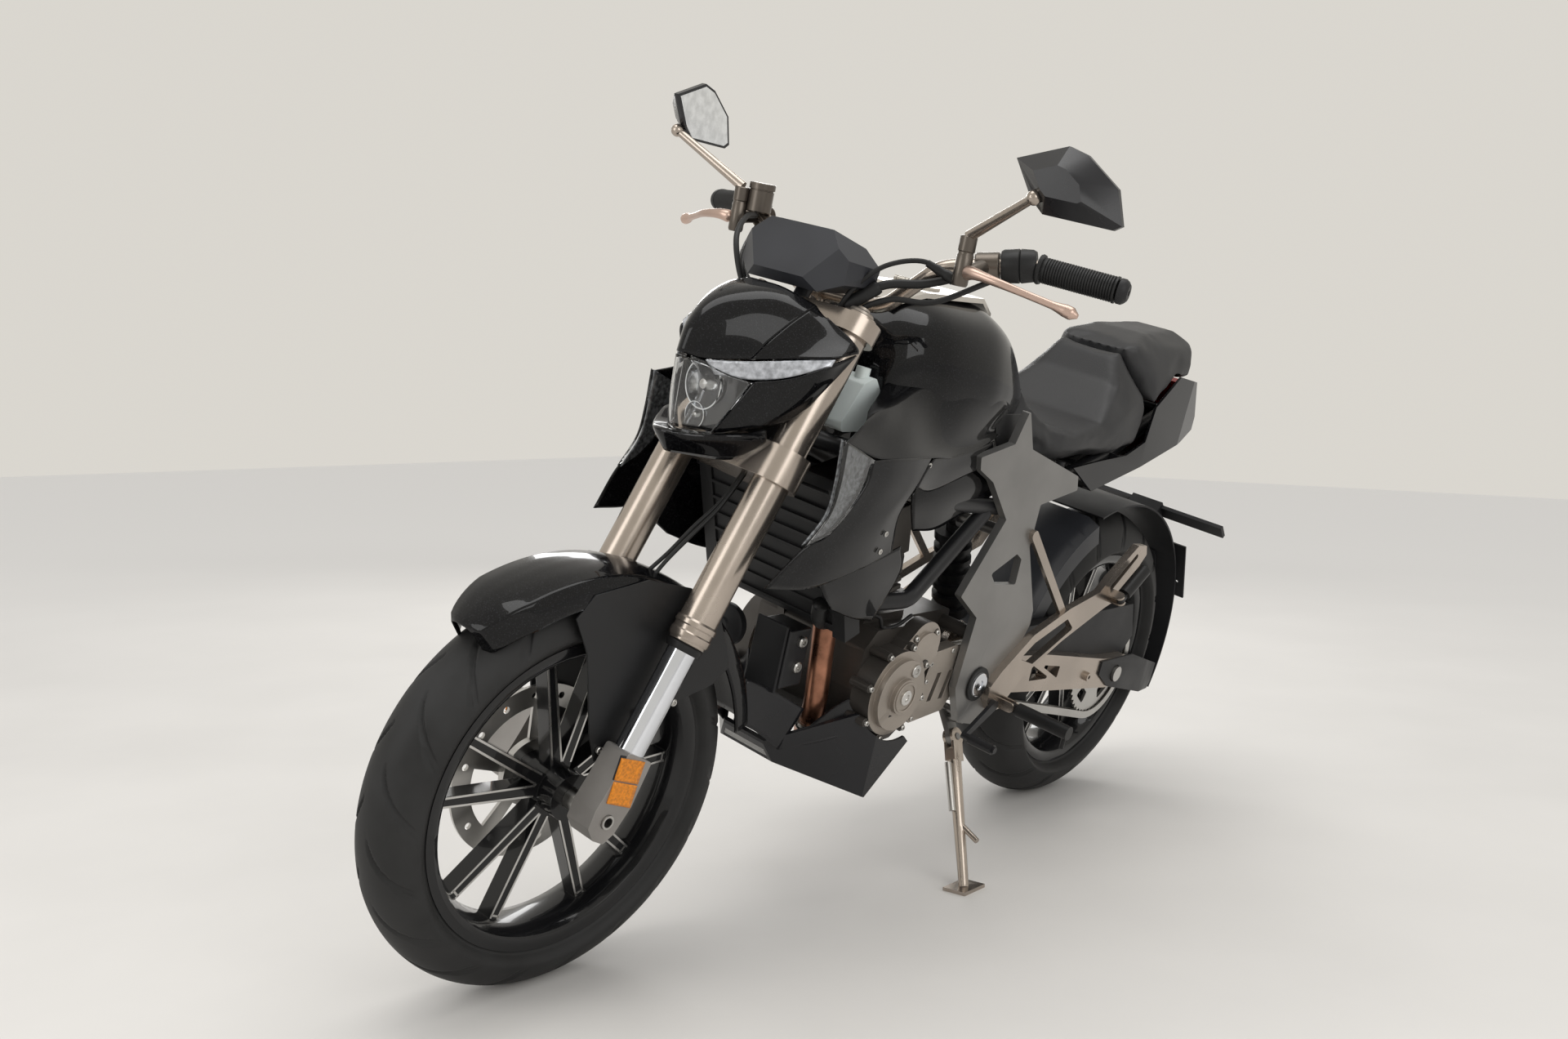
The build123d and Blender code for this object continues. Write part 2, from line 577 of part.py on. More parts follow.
def fuel_cap():
    """Lid with its plug and knuckle; it tips forward on the cover's hinge."""
    floor = TANK_TOP + FIT
    lid = rod((CAP_X, 0, floor), (CAP_X, 0, floor + 12), CAP_RADIUS - 6)
    lid += rod((CAP_X, 0, TANK_TOP + COVER_WALL + FIT), (CAP_X, 0, floor + 12), CAP_RADIUS)
    lid += Pos((CAP_X + CAP_HINGE[0]) / 2 + 10, 0, floor + 10.5) * Box(CAP_HINGE[0] - CAP_X - 20, 14, 3)
    lid += lateral(CAP_HINGE, -7.5, 7.5, 5)
    return lid - lateral(CAP_HINGE, -10, 10, 2.4)


def band(half_plan, inset, wall, low, high):
    """An upright strip of this wall that follows a plan line on the left, moved in by inset."""
    outer = [(x, y - inset) for x, y in half_plan]
    inner = [(x, y - inset - wall) for x, y in reversed(half_plan)]
    return plan(outer + inner, low, high)


def half_width(half_plan, x):
    """Half width of a plan line at x; the line's points run in order of x."""
    line = sorted(half_plan)
    for (x0, y0), (x1, y1) in zip(line, line[1:]):
        if x0 <= x <= x1:
            return y0 + (y1 - y0) * (x - x0) / (x1 - x0)
    return line[0][1]


SHROUD_PLAN = [(885, 162), (960, 178), (1060, 190), (1165, 190), (1245, 168)]
SHROUD_SIDE = [(1154, 842), (1188, 691), (1232, 632), (1150, 627), (960, 663), (972, 699), (981, 750),
               (942, 769), (893, 805), (1065, 813)]
LENS_SIDE = [(1156, 846), (1070, 812), (1085, 770), (1148, 705), (1184, 696), (1162, 751)]
VANE_SIDE = [(1140, 640), (936, 670), (908, 587), (956, 543), (1068, 582)]


def shroud():
    """Left wing beside the radiator: outer panel, lower vane and the ledge up to the tank."""
    wing = band(SHROUD_PLAN, 0, PANEL_WALL, 500, 900) & side(SHROUD_SIDE, 100, 200)
    wing -= side(LENS_SIDE, 100, 200)
    wing += band(SHROUD_PLAN, PANEL_WALL, PANEL_WALL, 500, 900) & side(VANE_SIDE, 100, 200)
    ledge = across([(186, 806), (188, 815), (157, 884), (152, 881)], 880, 1160)
    ledge &= plan([(893, 140), (1150, 140), (1150, 189), (1060, 189), (960, 177), (893, 164)], 800, 900)
    ledge &= side([(893, 800), (1065, 806), (1150, 836), (1060, 866), (985, 884), (960, 884)], 100, 200)
    return wing + (ledge - side(LENS_SIDE, 100, 200))


def front_indicator():
    """Clear lamp that fills the front edge of the left wing."""
    return band(SHROUD_PLAN, 0, PANEL_WALL, 500, 900) & side(LENS_SIDE, 100, 200) & side(SHROUD_SIDE, 100, 200)


def coolant_bottle():
    """Translucent bottle in front of the tank, left of the head tube."""
    body = side([(TANK_FRONT + FIT, 820), (1024, 820), (1026, 834), (992, 892), (966, 902),
                 (TANK_FRONT + FIT, 884)], 36, 82, 8)
    return body + rod((972, 59, 895), (970, 59, 912), 11)


def rider_seat():
    """Low saddle that climbs to a step at its back."""
    outline = [(560, 902), (530, 866), (470, 828), (400, 818), (310, 836), (240, 900), (212, 962),
               (198, 962), (156, 905), (120, 866), (124, 797), (191, 781), (375, SEAT_FLOOR),
               (445, SEAT_FLOOR), (529, 784), (586, 804), (597, 818), (557, 880)]
    half_plan = [(598, 66), (540, 100), (440, 132), (380, 135), (280, 128), (190, 117), (118, 107)]
    half_front = [(104, SEAT_FLOOR), (135, 790), (134, 830), (104, 905), (66, 962)]
    tray = side([(110, 700), (345, 700), (345, 784), (200, 792), (150, 808), (110, 824)], -103, 103)
    return three_views(outline, half_plan, half_front) - tray


def pillion_seat():
    outline = [(194, 966), (100, 992), (-40, 1002), (-74, 985), (-72, 915.4 + FIT), (20, 926 + FIT),
               (112, 868 + FIT), (115, 868 + FIT), (152, 908)]
    half_plan = [(194, 66), (150, 106), (110, 119), (20, 113), (-50, 98), (-74, 72)]
    half_front = [(119, 860), (114, 915), (84, 974), (42, 1002)]
    return three_views(outline, half_plan, half_front)


COWL_PLAN = [(402, 136), (298, 128), (112, 121), (-60, 104), (-152, 84)]
COWL_SIDE = [(402, 762), (298, 712), (-80, 790), (-152, 811), (-150, 839), (-84, 914), (20, 926),
             (112, 868), (120, 800), (188, 776)]


def tail_cowl():
    """Two side panels joined by a floor and a rear wall."""
    panel = band(COWL_PLAN, 0, PANEL_WALL, 700, 940) & side(COWL_SIDE, 60, 140)
    low = [(298, 712), (-80, 790), (-150, 811)]
    floor = side(low + [(x, z + 4) for x, z in reversed(low)], -140, 140)
    floor &= plan(whole_plan([(x, y - 1) for x, y in COWL_PLAN]), 700, 940)
    wall = side([(-151.5, 811.5), (-151.5, 838.5), (-147, 838.5), (-147, 811.5)], -82, 82)
    return panel + mirrored(panel) + floor + wall


def tail_light():
    lamp = side([(-149, 839), (-86, 911), (-74, 904), (-137, 839)], -78, 78)
    return lamp & plan([(-160, -76), (-60, -92), (-60, 92), (-160, 76)], 800, 940)


def belly_pan():
    """Chin under the engine: a bent wall, cut to its side outline, and a floor."""
    half = [(990, 44), (858, 160), (775, 168)]
    inner = [(x - 4, y - 4) for x, y in half]
    wall = plan(half + inner[::-1], 200, 400)
    nose = plan([(990, -44), (990, 44), (984, 44), (984, -44)], 200, 400)
    outline = [(992, 304), (975, 272), (853, 232), (776, 320), (838, 374), (866, 384)]
    wall = (wall + mirrored(wall) + nose) & side(outline, -170, 170)
    wall -= lateral(GENERATOR, 100, 180, GENERATOR_RADIUS + 5)
    wall -= lateral(CLUTCH, -180, -100, CLUTCH_RADIUS + 5)
    keel = side([(975, 272), (853, 232), (853, 237), (976, 277)], -170, 170)
    keel &= plan(whole_plan([(989, 43), (858, 157), (775, 166)]), 200, 400)
    tab = rod((800, CASE_HALF + FIT, 306), (800, 163, 306), 6)
    return wall + keel + tab + mirrored(tab)


def header_pipe():
    """From the cylinder head down past the cases and under them to the right."""
    out = Vector(cos(radians(CYLINDER_TILT)), 0, -sin(radians(CYLINDER_TILT)))
    port = CYLINDER_FOOT + HEAD_MIDDLE * Vector(-out.Z, 0, out.X) + (62 + FIT) * out + Vector(0, 45, 0)
    return tube([port, port + 46 * out, (920, 56, 520), (902, 60, 372), (872, 40, 258),
                 (750, -60, 262), (628, -150, 262)], 19, [26, 60, 90, 60, 60])


def muffler():
    """Short can low on the right, with its inlet cone and hanger."""
    can = rod((560, -183, 264), (336, -186, 284), 44)
    inlet = cone((622, -153, 262), (560, -183, 264), 22, 44)
    outlet = rod((336, -186, 284), (318, -186, 286), 20, 16)
    hanger = side([(402, 305), (448, 305), (440, 402), (415, 402)], -BRACKET[1] - 6, -BRACKET[1] - FIT)
    return can + inlet + outlet + hanger


# ---- chassis: rear end ---------------------------------------------------------------------
def arc_blade(section, start, stop):
    """A mudguard round the Y axis; section is (y, radius), angles from +X up, in degrees."""
    face = Plane.YZ * make_face(Polyline(*section, close=True))
    blade = revolve(face, axis=Axis.Y, revolution_arc=stop - start)
    return Rot(0, 90 - stop, 0) * blade


def holder_plane():
    """Back face of the number plate's holder, its z out to the rear."""
    high, low = Vector(*HOLDER_TOP), Vector(*HOLDER_LOW)
    return Plane(origin=(high + low) / 2, x_dir=(0, 1, 0), z_dir=(high - low).cross(Vector(0, 1, 0)))


def plate_bolt(hand):
    """Middle of a plate bolt's hole and the way out of it."""
    plane = holder_plane()
    middle = plane.from_local_coords(Vector(hand * PLATE_BOLT_SPACING, 30, -HOLDER_WALL / 2))
    return middle, plane.z_dir


def rear_mudguard():
    """Blade round the back of the tyre on two arms, with the lamp bar and the plate holder."""
    place = Pos(0, 0, REAR_RADIUS)
    inner = REAR_RADIUS + 26
    blade = arc_blade([(-78, inner), (78, inner), (78, inner + 4), (-78, inner + 4)], 70, 198)
    whole = place * blade
    arm = side([(70, 346), (70, 318), (20, 286), (-290, 214), (-327, 222), (-336, 262), (-60, 346)],
               60, ARM_OUTER + 4)
    near, far = ARM_OUTER + FIT, ARM_OUTER + 4
    arm &= plan([(70, far), (-140, far), (-342, 72), (-341, 68), (-140, near), (70, near)], 200, 360)
    arm -= lateral((0, REAR_RADIUS), ARM_OUTER, ARM_OUTER + 20, 18)
    whole += arm + mirrored(arm)
    whole += side([(-190, 593), (-216, 576), (-252, 608), (-224, 634)], -36, 36)
    whole += side([(-250, 606), (-226, 628), (-220, 622), (-244, 600)], -178, 178)
    whole += side([(-264, 520), (-288, 530), (-314, 478), (-297, 470)], -30, 30)
    plane = holder_plane()
    holder = plane * Pos(0, 0, -HOLDER_WALL / 2) * Box(184, 138, HOLDER_WALL)
    for hand in (-1, 1):
        middle, out = plate_bolt(hand)
        holder -= rod(middle - out * 10, middle + out * 10, PLATE_BOLT)
    return whole + holder


def hugger():
    """Short mudguard ahead of the tyre, on the swingarm's brace."""
    inner = REAR_RADIUS + 24
    section = [(-84, inner - 40), (-84, inner), (-60, inner + 14), (60, inner + 14), (84, inner),
               (84, inner - 40), (81, inner - 40), (81, inner - 2), (58, inner + 11),
               (-58, inner + 11), (-81, inner - 2), (-81, inner - 40)]
    whole = Pos(0, 0, REAR_RADIUS) * arc_blade(section, 16, 66)
    whole += side([(330, 404), (432, 402 + FIT), (432, 407), (330, 414)], -60, 60)
    tab = side([(428, 402 + FIT), (478, 402 + FIT), (478, 407), (428, 407)], 36, 60)
    return whole + tab + mirrored(tab)


def chain_guard():
    """Plate beside the upper run of the chain, with a lip over it."""
    plate = side([(398, 446), (398, 380), (330, 372), (60, 330), (-60, 330), (-96, 372), (-60, 446)],
                 ARM_INNER - 3, ARM_INNER - FIT, 4)
    plate -= lateral((0, REAR_RADIUS), 90, 120, 20)
    lip = side([(396, 446), (-50, 446), (-50, 443), (396, 443)], 86, ARM_INNER - FIT)
    return plate + lip


def rear_caliper():
    """Body over the disc and the plate that hangs it from the axle."""
    plate = link((0, REAR_RADIUS), (84, 380), 26, 24, -ARM_INNER + FIT, -ARM_INNER + 7)
    plate -= lateral((0, REAR_RADIUS), -120, -90, 15 + FIT)
    body = side([(40, 384), (96, 330), (122, 358), (120, 400), (70, 428)], -ARM_INNER + 4, -62, 8)
    slot = lateral((0, REAR_RADIUS), REAR_DISC_Y + DISC_RUN, REAR_DISC_Y - DISC_WALL - DISC_RUN,
                   REAR_DISC_RADIUS + DISC_RUN)
    return plate + (body - slot)


def clevis(centre, pin, face_y, radius=9.0):
    """Two ears and their pin, out from a side bracket; pin is the hinge direction."""
    centre, pin = Vector(*centre), Vector(*pin).normalized()
    whole = rod(centre - pin * 10, centre + pin * 10, PEG_PIN)
    for hand in (-1, 1):
        inner, outer = centre + pin * (5.2 * hand), centre + pin * (10 * hand)
        ear = rod(inner, outer, radius)
        plane = Plane(origin=inner, x_dir=(0, 1, 0), z_dir=outer - inner)
        reach = centre.Y - face_y
        ear += plane * Pos(-reach / 2, 0, 2.4) * Box(reach, 2 * radius, 4.8)
        whole += ear
    return whole


BRACKET_SIDE = [(548, 352), (524, 328), (500, 330), (440, 385), (330, 437), (195, 487), (150, 500),
                (75, 585), (85, 604), (118, 606), (200, 548), (230, 522), (330, 500), (440, 462),
                (520, 405), (548, 378)]


def peg_brackets():
    """A cast arm on each frame plate with the hinges of both pegs; two pieces."""
    arm = side(BRACKET_SIDE, *BRACKET, 3)
    arm -= link((186, 528), (116, 584), 6, 5, 100, 200)
    arm -= side([(470, 420), (420, 404), (300, 458), (330, 480), (430, 446)], 100, 200, 4)
    arm += link((518, 652), (338, 488), 9, 8, BRACKET[0], BRACKET[0] + 8)
    arm += clevis(RIDER_PEG, (1, 0, 0), BRACKET[1] - 2)
    fold = Vector(*PILLION_FOLDED)
    arm += clevis(PILLION_PEG, fold.cross(Vector(0, 1, 0)), BRACKET[1] - 2)
    return pair(arm)


def peg(centre, along, pin, length, feeler):
    """Foot peg: a tongue on the pin and a round rubber."""
    centre, along, pin = Vector(*centre), Vector(*along).normalized(), Vector(*pin).normalized()
    tongue = rod(centre - pin * 4.8, centre + pin * 4.8, 7.5)
    plane = Plane(origin=centre, x_dir=along, z_dir=pin)
    tongue += plane * Pos(8, 0, 0) * Box(16, 15, 9.6)
    rubber = rod(centre + along * 14, centre + along * length, PEG_RADIUS)
    body = tongue + rubber
    if feeler:
        tip = centre + along * (length - 7)
        body += rod(tip, tip - Vector(0, 0, 30), 4)
    return body - rod(centre - pin * 20, centre + pin * 20, PEG_PIN + 0.4)


def foot_controls():
    """Gear lever on the left and brake pedal on the right; two pieces."""
    lever = link((530, 344), (606, 300), 9, 6, BRACKET[1] + 2, BRACKET[1] + 9)
    lever += lateral((530, 344), BRACKET[1] + FIT, BRACKET[1] + 2, 9)
    lever += lateral((606, 300), BRACKET[1] + 2, 236, 6) + lateral((606, 300), 184, 232, 9)
    pedal = link((530, 344), (648, 318), 9, 7, -BRACKET[1] - 9, -BRACKET[1] - 2)
    pedal += lateral((530, 344), -BRACKET[1] - 2, -BRACKET[1] - FIT, 9)
    pedal += side([(630, 330), (662, 324), (662, 330), (630, 336)], -226, -BRACKET[1] - 2)
    return [lever, pedal]


# ---- steering: fork, bars and all on them -----------------------------------------------------
def fork_side(points, y0, y1, radius=0.0):
    """A side outline given along the fork (f, h), from y0 to y1."""
    plane = Plane(origin=FRONT_AXLE, x_dir=STEER_AHEAD, z_dir=(0, -1, 0))
    return extrude(sheet(points, plane.offset(-y1), radius), amount=y1 - y0)


def leg(h0, h1, radius, bore=0.0):
    return rod(at_fork(0, LEG_SPACING, h0), at_fork(0, LEG_SPACING, h1), radius, bore)


def fork_outer_tubes():
    """Upper tubes with a cap on top and a stepped collar at the seal."""
    tube_ = leg(OUTER_END, TUBE_TOP, OUTER_TUBE) + leg(OUTER_END, OUTER_END + 34, OUTER_TUBE + 2.5)
    tube_ += leg(OUTER_END + 42, OUTER_END + 48, OUTER_TUBE + 2)
    return pair(tube_ + leg(TUBE_TOP, TUBE_TOP + 10, 17))


def fork_inner_tubes():
    return pair(leg(INNER_END, OUTER_END, INNER_TUBE))


def fork_feet():
    """Cast feet that clamp the axle."""
    foot = fork_side([(-25, INNER_END), (25, INNER_END), (27, 40), (30, 8), (26, -18), (8, -30),
                      (-14, -30), (-24, -12), (-30, 30)], FOOT_INNER, FOOT_OUTER, 5)
    foot -= lateral((WHEELBASE, FRONT_RADIUS), 0, 200, AXLE_RADIUS + FIT)
    lug = fork_side([(-20, 46), (-78, 50), (-86, 92), (-70, 100), (-20, 92)], -FOOT_INNER - 13, -FOOT_INNER, 4)
    return [foot, mirrored(foot) + lug]


def front_axle():
    """Hollow axle with the spacers between the hub and the feet."""
    centre = (WHEELBASE, FRONT_RADIUS)
    shaft = lateral(centre, -FOOT_OUTER - 3, FOOT_OUTER + 3, AXLE_RADIUS)
    for hand in (-1, 1):
        shaft += lateral(centre, hand * (FRONT_HUB_HALF + FIT), hand * (FOOT_INNER - FIT), 15)
    return shaft - lateral(centre, -FOOT_OUTER - 4, FOOT_OUTER + 4, AXLE_BORE)


def clamp(h0, h1):
    """A fork clamp: hull of its two eyes and the stem boss."""
    edges = [Pos(0, LEG_SPACING) * Circle(CLAMP_EYE).edge(),
             Pos(0, -LEG_SPACING) * Circle(CLAMP_EYE).edge(),
             Pos(-YOKE_OFFSET, 0) * Circle(30).edge()]
    return extrude(FORK.offset(h0) * make_hull(edges), amount=h1 - h0)


def bar_line(y):
    """Centre of the handlebar between the risers, at y."""
    centre = at_fork(BAR_F, 0, BAR_H)
    return (centre.X, y, centre.Z)


def fork_clamps():
    """Lower and upper clamp, the stem that joins them and the handlebar risers."""
    whole = clamp(*LOWER_CLAMP) + clamp(*TOP_CLAMP)
    whole += rod(at_fork(-YOKE_OFFSET, 0, LOWER_CLAMP[0]), at_fork(-YOKE_OFFSET, 0, TOP_CLAMP[1] + 6),
                 STEM_RADIUS)
    for hand in (-1, 1):
        y = hand * RISER_SPACING
        whole += rod(at_fork(BAR_F, y, TOP_CLAMP[0] + 2), at_fork(BAR_F, y, BAR_H), 13)
        whole += rod(bar_line(y - 12), bar_line(y + 12), 19)
        whole -= rod(at_fork(0, hand * LEG_SPACING, 400), at_fork(0, hand * LEG_SPACING, 800),
                     OUTER_TUBE + FIT)
    return whole - rod(bar_line(-70), bar_line(70), BAR_RADIUS + FIT)


GRIP_INNER = (927, 270, 1103)
BAR_END = (884, 388, 1096)
BAR_BEND = (985, 168, 1078)


def handlebar():
    half = [bar_line(84), BAR_BEND, GRIP_INNER, BAR_END]
    points = [(x, -y, z) for x, y, z in reversed(half)] + half
    return tube(points, BAR_RADIUS, [70, 60, 60, 60, 60, 70])


def on_line(start, end, share):
    return Vector(*start) + (Vector(*end) - Vector(*start)) * share


def grips():
    grip = rod(on_line(GRIP_INNER, BAR_END, 0.14), on_line(GRIP_INNER, BAR_END, 1.0), 17, BAR_RADIUS + FIT)
    end = rod(on_line(GRIP_INNER, BAR_END, 1.0) + Vector(0, FIT, 0), on_line(GRIP_INNER, BAR_END, 1.13), 15)
    return pair(grip + end)


MIRROR_FOOT = (1007, 221, 1128)
MIRROR_BALL = (1052, 340, 1192)


def hand_controls():
    """On each side the lever perch, its lever and the switch pod; a reservoir on the right."""
    perch = rod(on_line(BAR_BEND, GRIP_INNER, 0.42), on_line(BAR_BEND, GRIP_INNER, 0.66), 19,
                BAR_RADIUS + FIT)
    perch += rod(on_line(BAR_BEND, GRIP_INNER, 0.54) + Vector(14, 0, -3), (1006, 228, 1080), 11)
    perch += rod((1007, 221, 1064), MIRROR_FOOT, 11)
    pod = rod(on_line(BAR_BEND, GRIP_INNER, 0.68), on_line(BAR_BEND, GRIP_INNER, 0.9), 23,
              BAR_RADIUS + FIT)
    run = [(1008, 232, 1078), (1012, 268, 1080), (986, 334, 1067), (965, 386, 1056)]
    lever = Pos(*run[-1]) * Sphere(8.5)
    for start, end in zip(run, run[1:]):
        lever += rod(start, end, 5.5) + Pos(*end) * Sphere(5.5)
    left = perch + pod + lever - rod(BAR_BEND, GRIP_INNER, BAR_RADIUS + FIT)
    jar = rod((986, -200, 1099), (986, -200, 1138), 19)
    return [left, mirrored(left) + jar]


def mirror_stems():
    stem = cone(MIRROR_FOOT, MIRROR_BALL, 8, 6) + Pos(*MIRROR_BALL) * Sphere(10)
    return pair(stem - rod((1007, 221, 1064), MIRROR_FOOT, 11 + FIT))


MIRROR_OUTLINE = [(-47, 1237), (21, 1262), (48, 1255), (97, 1221), (113, 1178), (102, 1171), (5, 1174),
                  (-15, 1190)]


def mirror_head(turn, lift):
    """Faceted shell that tapers to the front; its glass is on the back, turned out by turn."""
    u, w = sin(radians(turn)), cos(radians(turn))
    plane = Plane(origin=(1034, 340, lift), x_dir=(-u, w, 0), z_dir=(w, u, 0))
    back = make_face(Polyline(*MIRROR_OUTLINE, close=True))
    peak = (26, 1214)
    small = [(peak[0] + (u - peak[0]) * 0.45, peak[1] + (z - peak[1]) * 0.45) for u, z in MIRROR_OUTLINE]
    front = make_face(Polyline(*small, close=True))
    head = extrude(plane.offset(-8) * back, amount=8)
    head += loft([plane * back, plane.offset(30) * front], ruled=True)
    return head - Pos(*MIRROR_BALL) * Sphere(10 + FIT)


def mirror_heads():
    """The left one faces the rider, the right one is folded along the bike."""
    return [mirror_head(10, 0), mirrored(mirror_head(78, 8))]


def dash():
    """Instrument housing, tilted to the rider, on its stay."""
    body = three_views([(1098, 1100), (1130, 1030), (1118, 1014), (1052, 1016), (1030, 1040), (1046, 1082)],
                       [(1130, 48), (1100, 100), (1040, 108), (1030, 92)],
                       [(60, 1010), (100, 1030), (108, 1056), (60, 1101)])
    stay = rod(at_fork(22, 0, TOP_CLAMP[1] + FIT), at_fork(22, 0, TOP_CLAMP[1] + 40), 12)
    return body + stay


# Height: half plan of the headlight shell there, from its nose round the left to its back.
HEADLIGHT_LEVELS = [
    (770, [(1280, 0), (1262, 14), (1216, 40), (1206, 40)]),
    (802, [(1300, 0), (1266, 36), (1216, 80), (1194, 88)]),
    (812, [(1278, 0), (1248, 34), (1214, 66), (1190, 78)]),
    (890, [(1284, 0), (1262, 24), (1212, 68), (1140, 124)]),
    (912, [(1286, 0), (1262, 26), (1206, 78), (1118, 150)]),
    (950, [(1270, 0), (1246, 30), (1190, 86), (1100, 148)]),
    (984, [(1238, 0), (1220, 28), (1176, 70), (1112, 94)]),
    (1006, [(1196, 0), (1184, 26), (1152, 50), (1118, 56)])]
HEADLIGHT_GLASS = [(38, 806), (44, 830), (70, 884), (24, 904)]


def headlight_body():
    levels = [make_face(Polyline(*whole_plan(half), close=True)) for _, half in HEADLIGHT_LEVELS]
    faces = [Pos(0, 0, z) * face for (z, _), face in zip(HEADLIGHT_LEVELS, levels)]
    body = Part()
    for low, high in zip(faces, faces[1:]):
        body += loft([low, high], ruled=True)
    for hand in (-1, 1):
        body -= leg_room(hand)
        body += rod(at_fork(CLAMP_EYE + FIT, hand * 34, 532), at_fork(70, hand * 34, 532), 7)
    return body


def leg_room(hand):
    """The space a fork leg and its upper clamp need inside the headlight shell."""
    room = rod(at_fork(0, hand * LEG_SPACING, 500), at_fork(0, hand * LEG_SPACING, 800), OUTER_TUBE + 4)
    return room + rod(at_fork(0, hand * LEG_SPACING, 730), at_fork(0, hand * LEG_SPACING, 800), CLAMP_EYE + 3)


def glass_zone():
    return across(whole_front(HEADLIGHT_GLASS), 1206, 1300)


def headlight_housing():
    return headlight_body() - glass_zone()


def headlight_lens():
    return headlight_body() & glass_zone()


def front_fender():
    """Blade over the tyre, a side panel on each leg and the rear skirt."""
    place = Pos(*FRONT_AXLE)
    top = FRONT_RADIUS + 34
    section = [(-66, top - 27), (-66, top - 12), (-46, top - 4), (0, top), (46, top - 4), (66, top - 12),
               (66, top - 27), (62.5, top - 27), (62.5, top - 14), (44, top - 8), (0, top - 4),
               (-44, top - 8), (-62.5, top - 14), (-62.5, top - 27)]
    blade = place * arc_blade(section, 53, 172)
    tip = plan([(1600, 0), (1588, 34), (1545, 66), (1050, 66), (1050, -66), (1545, -66), (1588, -34)], 300, 700)
    panel = side([(1445, 560), (1415, 517), (1386, 390), (1372, 352), (1334, 350), (1325, 371), (1271, 371), (1249, 420),
                  (1170, 440), (1150, 470), (1249, 580), (1420, 585)], 62.5, 66, 4)
    boss = rod(at_fork(6, 66, 74), at_fork(6, FOOT_INNER - FIT, 74), 7)
    boss += rod(at_fork(-14, 66, 86), at_fork(-14, FOOT_INNER - FIT, 86), 7)
    half = panel + boss
    return (blade & tip) + half + mirrored(half)


def front_caliper():
    """Two-piston body on the right foot, behind the leg."""
    body = fork_side([(-44, 50), (-40, 78), (-87, 128), (-120, 108), (-146, 54), (-84, 30)],
                     -FOOT_INNER + FIT, -28, 6)
    slot = lateral((WHEELBASE, FRONT_RADIUS), FRONT_DISC_Y + DISC_RUN,
                   FRONT_DISC_Y - DISC_WALL - DISC_RUN, FRONT_DISC_RADIUS + DISC_RUN)
    return body - slot


# ---- side stand ---------------------------------------------------------------------------------
def stand_lines():
    """Foot, direction of the parked leg, hinge axis and swing of the stand."""
    pivot = Vector(*STAND_PIVOT)
    foot = from_ground(STAND_FOOT[0], STAND_FOOT[1], 3)
    down = (foot - pivot).normalized()
    folded = Vector(*STAND_FOLDED).normalized()
    axis = down.cross(folded).normalized()
    return pivot, foot, down, axis, down.get_angle(folded)


def stand_lug():
    """Tongue of the stand's hinge, its bolt and the arms up to the left frame plate."""
    pivot, foot, down, axis, swing = stand_lines()
    up = axis.cross(Vector(1, 0, 0)) * -1
    if up.Z < 0:
        up = up * -1
    plane = Plane(origin=pivot - axis * 5, x_dir=(1, 0, 0), z_dir=axis)
    tongue = rod(pivot - axis * 5, pivot + axis * 5, 16)
    arm = Plane(origin=pivot, x_dir=up, z_dir=axis) * Pos(26, 0, 0) * Box(52, 26, 10)
    bolt = rod(pivot - axis * 12, pivot + axis * 12, 6)
    gusset = rod(pivot + up * 38, (566, PLATE_INNER + 1, 310), 8)
    return tongue + arm + bolt + gusset


def side_stand():
    """Forked head, tapered leg, tang and the flat foot on the ground."""
    pivot, foot, down, axis, swing = stand_lines()
    head = Part()
    for hand in (-1, 1):
        head += rod(pivot + axis * (5.5 * hand), pivot + axis * (10.5 * hand), 16)
        cheek = Plane(origin=pivot + axis * (8 * hand), x_dir=down, z_dir=axis)
        head += cheek * Pos(17, 0, 0) * Box(34, 26, 5)
    head -= rod(pivot - axis * 20, pivot + axis * 20, 6.4)
    neck = Plane(origin=pivot, x_dir=down, z_dir=axis) * Pos(32, 0, 0) * Box(20, 26, 21)
    leg_ = cone(pivot + down * 36, foot, 12, 8.5)
    tang = rod(pivot + down * 150, pivot + down * 172 + Vector(0, 34, 6), 5)
    pad = PARKED.inverse() * (Pos(STAND_FOOT[0], STAND_FOOT[1], 3) * Box(62, 44, 6))
    return head + neck + leg_ + tang + pad


def stand_spring():
    """Return spring hooked beside the leg."""
    pivot, foot, down, axis, swing = stand_lines()
    ahead = axis.cross(down).normalized()
    return rod(pivot + down * 48 - ahead * 19.5, pivot + down * 132 - ahead * 17, 6)


# ---- the whole bike -------------------------------------------------------------------------------
def at_axle(shape, axle):
    return Pos(*axle) * shape


FRONT_TYRE = (FRONT_RADIUS, FRONT_CROWN, FRONT_RIM_HALF)
REAR_TYRE = (REAR_RADIUS, REAR_CROWN, REAR_RIM_HALF)

CHASSIS = {
    "frame": frame, "frame_plates": frame_plates, "crankcase": crankcase, "cylinder": cylinder,
    "engine_covers": engine_covers, "radiator": radiator, "header_pipe": header_pipe,
    "muffler": muffler, "fuel_tank": fuel_tank, "tank_cover": tank_cover,
    "shroud_left": shroud, "shroud_right": lambda: mirrored(shroud()),
    "front_indicators": lambda: pair(front_indicator()), "coolant_bottle": coolant_bottle,
    "rider_seat": rider_seat, "pillion_seat": pillion_seat, "tail_cowl": tail_cowl,
    "tail_light": tail_light, "belly_pan": belly_pan, "swingarm": swingarm,
    "rear_axle": rear_axle, "shock": shock, "chain": chain, "chain_guard": chain_guard,
    "hugger": hugger, "rear_mudguard": rear_mudguard, "rear_caliper": rear_caliper,
    "peg_brackets": peg_brackets, "foot_controls": foot_controls,
}
